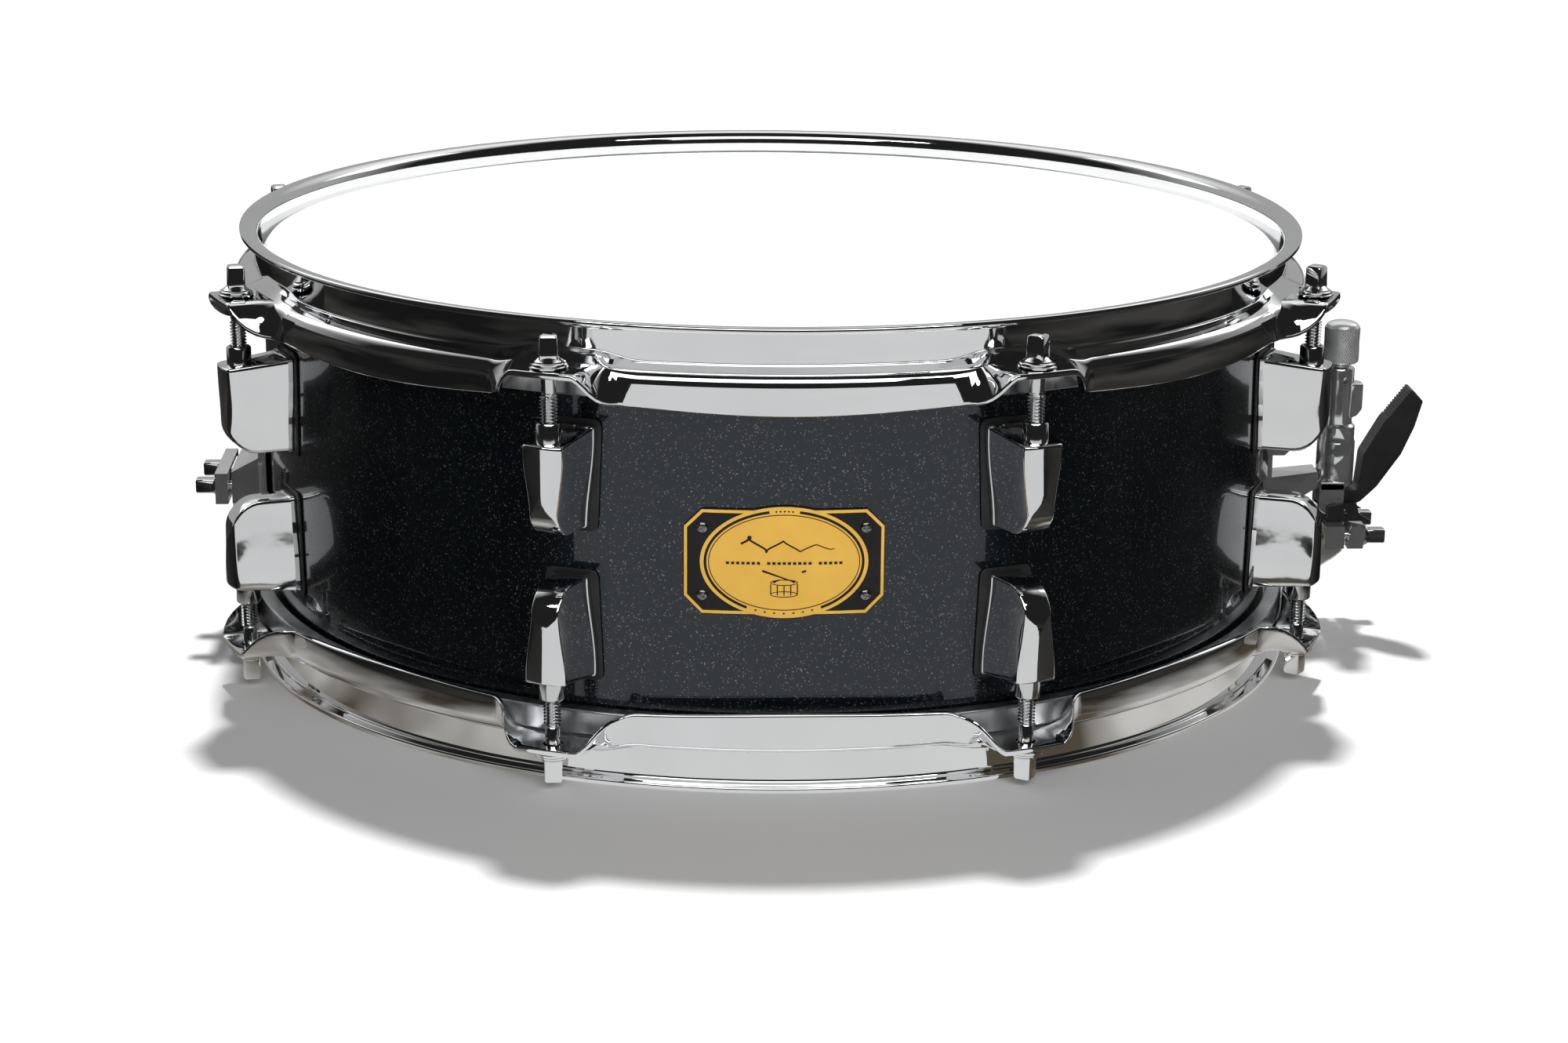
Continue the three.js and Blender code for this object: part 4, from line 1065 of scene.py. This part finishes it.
def makeKnob():
    s = knobShape
    axis = strainerShape["axis"]
    around = s["knurls"] * 4
    heights = [s["low"] + (s["high"] - s["low"]) * i / s["rows"] for i in range(s["rows"] + 1)]

    def ring(radius, z, crossed=0.0):
        points = []
        for k in range(around):
            a = 2 * math.pi * k / around
            left = math.sin(s["knurls"] * a + z * s["knurlLean"])
            right = math.sin(s["knurls"] * a - z * s["knurlLean"])
            r = radius + crossed * (max(left, 0) * max(right, 0) * 2 - 1)
            points.append((axis + r * math.cos(a), r * math.sin(a), z))
        return points

    rings = [ring(s["neck"], s["low"] - 1.5), ring(s["neck"], s["low"])]
    rings += [ring(s["radius"] - 0.9, s["low"] + 0.01), ring(s["radius"] - 0.3, s["low"] + 0.5)]
    rings += [ring(s["radius"] - 0.22, z, s["knurlDeep"]) for z in heights[2:-1]]
    rings += [ring(s["radius"] - 0.25, s["high"]), ring(s["radius"] - 0.55, s["high"] + 0.35)]
    for i in range(1, 7):
        t = i / 7 * math.pi / 2
        rings.append(ring((s["radius"] - 0.7) * math.cos(t), s["high"] + 0.4 + (s["dome"] - 0.4) * math.sin(t)))
    mesh = bmesh.new()
    addLoft(mesh, rings)
    finishPiece("tensionKnob", mesh, "knob", knurledChrome, stands=["snare_tension_knob"], sharp=60)
    screw = bmesh.new()
    addLathe(screw, [(s["screwRadius"], s["screwLow"]), (s["screwRadius"], s["low"] - 1.2)], 32, (axis, 0))
    finishPiece("tensionKnobScrew", screw, "knob", rodChrome, bevel=0.2)


leverShape = {"pinHole": 1.7, "grooves": 11, "groove": 0.42, "grooveFirst": 1.5, "groovePitch": 1.15}


def makeLever():
    s = leverShape
    half = strainerShape["leverHalf"]
    out, z = strainerShape["pivotOut"], strainerShape["pivotZ"]
    outline = [(-2.6, -2.6), (2.6, -2.6), (10.6, 0.8), (16.3, 6.4), (20.5, 12.6), (24.5, 18.5), (28.7, 28.6),
               (31.2, 38.0), (26.9, 42.6), (17.4, 30.0), (10.7, 18.0), (9.6, 5.0), (4.6, 4.6), (-2.6, 3.6),
               (-3.6, 0)]  # from the pin
    radii = [1.6, 2.0, 5.0, 8.0, 8.0, 8.0, 8.0, 1.0, 1.4, 9.0, 4.0, 1.6, 1.0, 1.6, 1.8]
    mesh = bmesh.new()
    addPrism(mesh, roundedOutline([(out + u, z + v) for u, v in outline], radii, 5), -half, half, "Y")
    cuts = [circle(s["pinHole"], 24, (out, z))]
    start = Vector((out + 26.9, z + 42.6))
    inward = Vector((-9.5, -12.6)).normalized()  # down the inner face from the tip
    for i in range(s["grooves"]):
        centre = start + inward * (s["grooveFirst"] + i * s["groovePitch"])
        cuts.append(circle(s["groove"], 8, centre))
    cutters = []
    for ring in cuts:
        cutter = bmesh.new()
        addPrism(cutter, ring, -half - 1, half + 1, "Y")
        bmesh.ops.transform(cutter, matrix=stationMatrix(), verts=cutter.verts)
        cutters.append(cutter)
    finishPiece("throwLever", mesh, "lever", leverBlack, stands=["throw_off_lever"], bevel=0.5,
                sharp=40, cutters=cutters)


clampScrewShape = {"length": 7.0, "half": 2.5, "shank": 1.6}


def addClampScrew(mesh, low, high, direction):  # a square head on a collar, with its shank inside the jaw
    s = clampScrewShape
    middle = (low + high) / 2
    x = high.x - s["length"] if direction > 0 else low.x + s["length"]
    half, long = s["half"], s["length"]
    square = roundedOutline([(-half, -half), (half, -half), (half, half), (-half, half)], 0.6, 3)
    sections = []
    for reach, grow in ((0.0, 1.0), (long - 0.7, 1.0), (long - 0.15, 0.9), (long, 0.7)):
        sections.append([(x + direction * reach, middle.y + u * grow, middle.z + v * grow) for u, v in square])
    addLoft(mesh, sections)
    collar = [(reach, radius, 24) for reach, radius in ((-0.9, 3.6), (0.0, 3.6), (0.5, 3.3), (1.4, 2.2))]
    shank = [(reach, s["shank"], 20) for reach in ((low.x - high.x) + long, 0.5)]
    for turned in (collar, shank):
        addLoft(mesh, [[(x + direction * reach, y, z) for y, z in circle(radius, count, (middle.y, middle.z))]
                       for reach, radius, count in turned])


def makeClamps():
    for node in ("snare_clamp_block", "snare_clamp_jaw", "butt_clamp_jaw", "butt_plate"):
        carryNode(node, fittingChrome, 0.5, 24)
    carryNode("strainer_carriage", leverBlack, 0.25)
    for node in ("strainer_strap", "butt_strap"):
        carryNode(node, strapTape, 0.12)
    for name, prefix, direction, body in (("strainerClampScrew", "snare_clamp_screw", 1, "clamp"),
                                          ("buttClampScrew", "butt_clamp_screw", -1, "drum")):
        for number in (1, 2):
            node = f"{prefix}_{number}"
            mesh = bmesh.new()
            addClampScrew(mesh, *inDrum(node), direction)
            finishPiece(f"{name}{number}", mesh, body, chrome, stands=[node], sharp=40)


def makeStrainerMountScrews():  # through the shell, for the strainer and the butt
    mesh = bmesh.new()
    for direction, heights in ((1, (12.0, -14.0)), (-1, (-11.0, -27.0))):
        for height in heights:
            addMountScrew(mesh, height, direction)
    finishPiece("strainerMountScrews", mesh, "drum", wireSteel, bevel=0.2)


makeStrainerColumn()
makeLeverCatch()
makeLeverYoke()
makeKnob()
makeLever()
makeClamps()
makeStrainerMountScrews()
print("strainer and butt made")


wireShape = {"count": 20, "spacing": 2.2, "coil": 0.62, "wire": 0.3, "pitch": 2.4, "pointsPerTurn": 8,
             "sides": 4, "plateLength": 12.0, "plateThick": 1.2}


def makeSnareWires():
    s = wireShape
    low, high = inDrum("snare_wires")
    middle = (low.z + high.z) / 2
    half = high.x - s["plateLength"] + 3
    turns = 2 * half / s["pitch"]
    count = int(turns * s["pointsPerTurn"])
    mesh = bmesh.new()
    for n in range(s["count"]):
        y = (n - (s["count"] - 1) / 2) * s["spacing"]
        sections = []
        for i in range(count + 1):
            x = -half + 2 * half * i / count
            a = 2 * math.pi * turns * i / count
            across, up = math.cos(a), math.sin(a)
            ring = []
            for k in range(s["sides"]):
                b = 2 * math.pi * k / s["sides"] + 0.4
                reach = s["coil"] + s["wire"] * math.cos(b)
                ring.append((x + s["wire"] * math.sin(b), y + across * reach, middle + up * reach))
            sections.append(ring)
        addLoft(mesh, sections)
    finishPiece("snareCoils", mesh, "snares", wireSteel, stands=["snare_wires"], sharp=80)
    plates = bmesh.new()
    wide = s["count"] * s["spacing"] / 2 + 0.6
    for direction in (-1, 1):
        reach = sorted((direction * (high.x - s["plateLength"]), direction * high.x))
        corners = [(reach[0], -wide), (reach[1], -wide), (reach[1], wide), (reach[0], wide)]
        thick = s["plateThick"]
        addPrism(plates, roundedOutline(corners, 1.5), middle - thick / 2, middle + thick / 2)
    finishPiece("snareEndPlates", plates, "snares", wireSteel, bevel=0.25)


makeSnareWires()
print("snare wires made")


# What only mirrors see: a dim floor, bright near the drum, with two white cards, boxes and lamps above.
# Turns and rises are in degrees from the camera's side; reaches and sizes are in metres.
studio = {"floor": (0.80, 0.80, 0.80), "floorSize": 30.0,
          "dimFloor": (0.009, 0.009, 0.009), "dimPatches": (0.050, 0.048, 0.045),
          "nearFloor": (0.60, 0.59, 0.57), "nearPatches": (0.085, 0.070, 0.050), "nearReach": (0.205, 0.262),
          "cards": ((-19.9, -43.0, 22.7, 49.0, 0.68), (160.0, 146.0, 200.0, 214.0, 0.5)), "cardReach": 4.0,
          "frontRise": 46, "frontReach": 2.2, "frontHalf": (0.95, 0.55), "frontBox": 2.4,
          "rearTurn": 128, "rearRise": 38, "rearReach": 2.4, "rearHalf": (0.45, 0.6), "rearBox": 1.4,
          "lampTurn": 41, "lampRise": 47, "lampReach": 2.1, "lampRadius": 0.16, "lamp": 9.0,
          "rearGlow": 0.45, "rearTop": 1.15, "dark": 0.018, "seen": 0.97, "ambient": 0.15,
          "sunPower": 4.0, "sunHeight": 60.9, "sunSoft": 5.0, "topPower": 5.0, "fillPower": 40.0}
white = ((1.0, 1.0, 1.0), (0.96, 0.97, 1.0))


def glowMaterial(name, colours, strength):  # light given off, drifting between two tones
    material = bpy.data.materials.new(name)
    material.use_nodes = True
    nodes, links = material.node_tree.nodes, material.node_tree.links
    nodes.clear()
    cloud = noiseNode(nodes, links, 2.2, 2.0)
    tint = rampNode(nodes, links, cloud.outputs["Fac"], [(0.42, colours[0]), (0.68, colours[1])])
    glow = nodes.new("ShaderNodeEmission")
    links.new(tint.outputs["Color"], glow.inputs["Color"])
    glow.inputs["Strength"].default_value = strength
    out = nodes.new("ShaderNodeOutputMaterial")
    links.new(glow.outputs[0], out.inputs["Surface"])
    return material


def nearFloorGlow(near, fade):  # bright round the foot of the drum, fading into the dim floor
    material = bpy.data.materials.new("nearFloor")
    material.use_nodes = True
    nodes, links = material.node_tree.nodes, material.node_tree.links
    nodes.clear()
    place = nodes.new("ShaderNodeTexCoord")
    offset = nodes.new("ShaderNodeVectorMath")
    offset.operation = "DISTANCE"
    offset.inputs[1].default_value = (drumCentre.x, drumCentre.y, -0.0015)
    links.new(place.outputs["Object"], offset.inputs[0])
    fall = rangeNode(nodes, links, offset.outputs["Value"], 1.0, 0.0, near, fade)
    cloud = noiseNode(nodes, links, 9.0, 3.0)
    tones = [(0.42, studio["nearPatches"]), (0.60, studio["nearFloor"])]
    tint = rampNode(nodes, links, cloud.outputs["Fac"], tones)
    mix = nodes.new("ShaderNodeMix")
    mix.data_type = "RGBA"
    links.new(fall, mix.inputs["Factor"])
    mix.inputs["A"].default_value = (*studio["dimFloor"], 1)
    links.new(tint.outputs["Color"], mix.inputs["B"])
    glow = nodes.new("ShaderNodeEmission")
    links.new(mix.outputs["Result"], glow.inputs["Color"])
    out = nodes.new("ShaderNodeOutputMaterial")
    links.new(glow.outputs[0], out.inputs["Surface"])
    return material


def stagePlane(name, corners, material, seen):  # seen: by the camera and soft light, or only in the chrome
    mesh = bmesh.new()
    mesh.faces.new([mesh.verts.new(corner) for corner in corners])
    data = bpy.data.meshes.new(name)
    mesh.to_mesh(data)
    mesh.free()
    plane = bpy.data.objects.new(name, data)
    bpy.context.scene.collection.objects.link(plane)
    data.materials.append(material)
    plane.visible_camera = plane.visible_diffuse = seen
    plane.visible_transmission = plane.visible_shadow = seen
    plane.visible_glossy = not seen


def heading(angle, rise=0):  # direction at an angle from the camera's side of the drum
    turn = math.radians(angle) - cameraView["yaw"]
    level, up = math.cos(math.radians(rise)), math.sin(math.radians(rise))
    return Vector((math.sin(turn) * level, -math.cos(turn) * level, up))


def facing(direction, reach, half, tall):  # corners of a board that faces the drum
    across = direction.cross(Vector((0, 0, 1))).normalized() * half
    up = across.cross(direction).normalized() * tall
    middle = drumCentre + direction * reach
    return [middle - across - up, middle + across - up, middle + across + up, middle - across + up]


def makeFloor():
    s = studio
    size = s["floorSize"]
    material, nodes, links, shader = newMaterial("paleFloor")
    cloud = noiseNode(nodes, links, 0.8, 2.0)
    light = tuple(v * 1.02 for v in s["floor"])
    tint = rampNode(nodes, links, cloud.outputs["Fac"], [(0.3, s["floor"]), (0.7, light)])
    links.new(tint.outputs["Color"], shader.inputs["Base Color"])
    shader.inputs["Roughness"].default_value = 0.9
    shader.inputs["Specular IOR Level"].default_value = 0.0
    square = [(-size, -size), (size, -size), (size, size), (-size, size)]
    stagePlane("paleFloor", [(x, y, 0) for x, y in square], material, True)
    dim = glowMaterial("dimFloor", (s["dimFloor"], s["dimPatches"]), 1.0)
    stagePlane("mirroredFloor", [(x, y, -0.002) for x, y in square], dim, False)
    near, fade = s["nearReach"]
    ring = [drumCentre + heading(6 * k) * fade for k in range(60)]
    stagePlane("nearFloor", [(p.x, p.y, -0.0015) for p in ring], nearFloorGlow(near, fade), False)


def makeCards():  # each card starts at the drum's foot and widens away from it
    for number, (startLeft, runLeft, startRight, runRight, strength) in enumerate(studio["cards"], 1):
        sides = []
        for start, run in ((startLeft, runLeft), (startRight, runRight)):
            near = drumCentre + heading(start) * wrapRadius * mm
            sides.append((near, near + heading(run) * studio["cardReach"]))
        corners = [sides[0][0], sides[0][1], sides[1][1], sides[1][0]]
        glow = glowMaterial(f"whiteCard{number}", ((0.97, 0.975, 0.98), (1.0, 1.0, 1.0)), strength)
        stagePlane(f"whiteCard{number}", [(p.x, p.y, -0.001) for p in corners], glow, False)


def makeBoxesAndLamps():
    s = studio
    board = facing(heading(0, s["frontRise"]), s["frontReach"], *s["frontHalf"])
    stagePlane("frontBox", board, glowMaterial("frontBox", white, s["frontBox"]), False)
    for number, way in enumerate((-1, 1), 1):
        board = facing(heading(way * s["rearTurn"], s["rearRise"]), s["rearReach"], *s["rearHalf"])
        stagePlane(f"rearBox{number}", board, glowMaterial(f"rearBox{number}", white, s["rearBox"]), False)
        radius = s["lampRadius"]
        board = facing(heading(way * s["lampTurn"], s["lampRise"]), s["lampReach"], radius, radius)
        middle = sum(board, Vector()) / 4
        right, up = (board[1] - board[0]) / 2, (board[3] - board[0]) / 2
        ring = [middle + right * u + up * v for u, v in circle(1, 40)]
        stagePlane(f"roundLamp{number}", ring, glowMaterial(f"roundLamp{number}", white, s["lamp"]), False)


def makeWorld():  # white to the camera, an even glow for soft light, and a dim room in the mirrors
    s = studio
    world = bpy.data.worlds.new("studioWorld")
    bpy.context.scene.world = world
    world.use_nodes = True
    nodes, links = world.node_tree.nodes, world.node_tree.links
    nodes.clear()
    place = nodes.new("ShaderNodeTexCoord")
    split = nodes.new("ShaderNodeSeparateXYZ")
    links.new(place.outputs["Generated"], split.inputs["Vector"])
    rear = rangeNode(nodes, links, split.outputs["Y"], 0.0, 1.0, 0.05, 0.5)
    low = rangeNode(nodes, links, split.outputs["Z"], 1.0, 0.0, 0.86, 0.95)
    wall = nodes.new("ShaderNodeMath")
    wall.operation = "MULTIPLY"
    links.new(rear, wall.inputs[0])
    links.new(low, wall.inputs[1])
    rise = rangeNode(nodes, links, split.outputs["Z"], s["rearGlow"], s["rearTop"], 0.35, 0.65)
    lit = nodes.new("ShaderNodeMath")
    lit.operation = "MULTIPLY_ADD"
    links.new(wall.outputs[0], lit.inputs[0])
    links.new(rise, lit.inputs[1])
    lit.inputs[2].default_value = s["dark"]
    room = lit.outputs[0]
    path = nodes.new("ShaderNodeLightPath")
    soft = nodes.new("ShaderNodeMix")
    links.new(path.outputs["Is Glossy Ray"], soft.inputs["Factor"])
    soft.inputs["A"].default_value = s["ambient"]
    links.new(room, soft.inputs["B"])
    seen = nodes.new("ShaderNodeMix")
    links.new(path.outputs["Is Camera Ray"], seen.inputs["Factor"])
    links.new(soft.outputs["Result"], seen.inputs["A"])
    seen.inputs["B"].default_value = s["seen"]
    ground = nodes.new("ShaderNodeBackground")
    links.new(seen.outputs["Result"], ground.inputs["Strength"])
    out = nodes.new("ShaderNodeOutputWorld")
    links.new(ground.outputs[0], out.inputs["Surface"])


def addLight(name, kind, place, target, power, size=None):
    data = bpy.data.lights.new(name, kind)
    data.energy = power
    if kind == "AREA":
        data.shape = "RECTANGLE"
        data.size, data.size_y = size
    else:
        data.angle = math.radians(size)
    light = bpy.data.objects.new(name, data)
    bpy.context.scene.collection.objects.link(light)
    light.location = place
    light.rotation_mode = "QUATERNION"
    light.rotation_quaternion = (Vector(target) - Vector(place)).to_track_quat("-Z", "Y")
    light.visible_camera = False
    light.visible_glossy = False


def makeLights():  # a key from behind lays the shadow in front; the rest is soft
    s = studio
    key = heading(180, s["sunHeight"])
    addLight("keyLight", "SUN", drumCentre + key * 3, drumCentre, s["sunPower"], s["sunSoft"])
    addLight("topSoftbox", "AREA", (0.0, 0.1, 2.4), (0, 0, 0.1), s["topPower"], (2.6, 2.6))
    addLight("frontFill", "AREA", (0.4, -2.6, 1.7), (0, 0, 0.05), s["fillPower"], (2.0, 1.4))


# Angles in radians, distances in metres from the drum's middle, lens in millimetres.
cameraView = {"distance": 1.2602, "elevation": 0.3108, "roll": -0.0092, "yaw": 0.0448, "across": 0.00592,
              "up": -0.0870, "sensor": 36.0, "lens": 78.9066, "shift": 0.08295}


def makeCamera():
    c = cameraView
    e = c["elevation"]
    turn = Matrix.Rotation(-c["yaw"], 3, "Z")
    place = turn @ Vector((c["across"], -c["distance"] * math.cos(e), c["up"] + c["distance"] * math.sin(e)))
    forward = turn @ Vector((0, math.cos(e), -math.sin(e)))
    right = turn @ Vector((1, 0, 0))
    up = right.cross(forward)
    roll = Matrix.Rotation(c["roll"], 3, forward)
    right, up = roll @ right, roll @ up
    data = bpy.data.cameras.new("camera")
    data.sensor_width = c["sensor"]
    data.lens = c["lens"]
    data.shift_y = c["shift"]
    data.clip_start, data.clip_end = 0.05, 100
    camera = bpy.data.objects.new("camera", data)
    bpy.context.scene.collection.objects.link(camera)
    basis = Matrix((right, up, -forward)).transposed()
    camera.matrix_world = Matrix.Translation(drumCentre + place) @ basis.to_4x4()
    bpy.context.scene.camera = camera


makeFloor()
makeCards()
makeBoxesAndLamps()
makeWorld()
makeCamera()
makeLights()
bpy.context.scene.view_settings.view_transform = "Standard"
print("stage made")
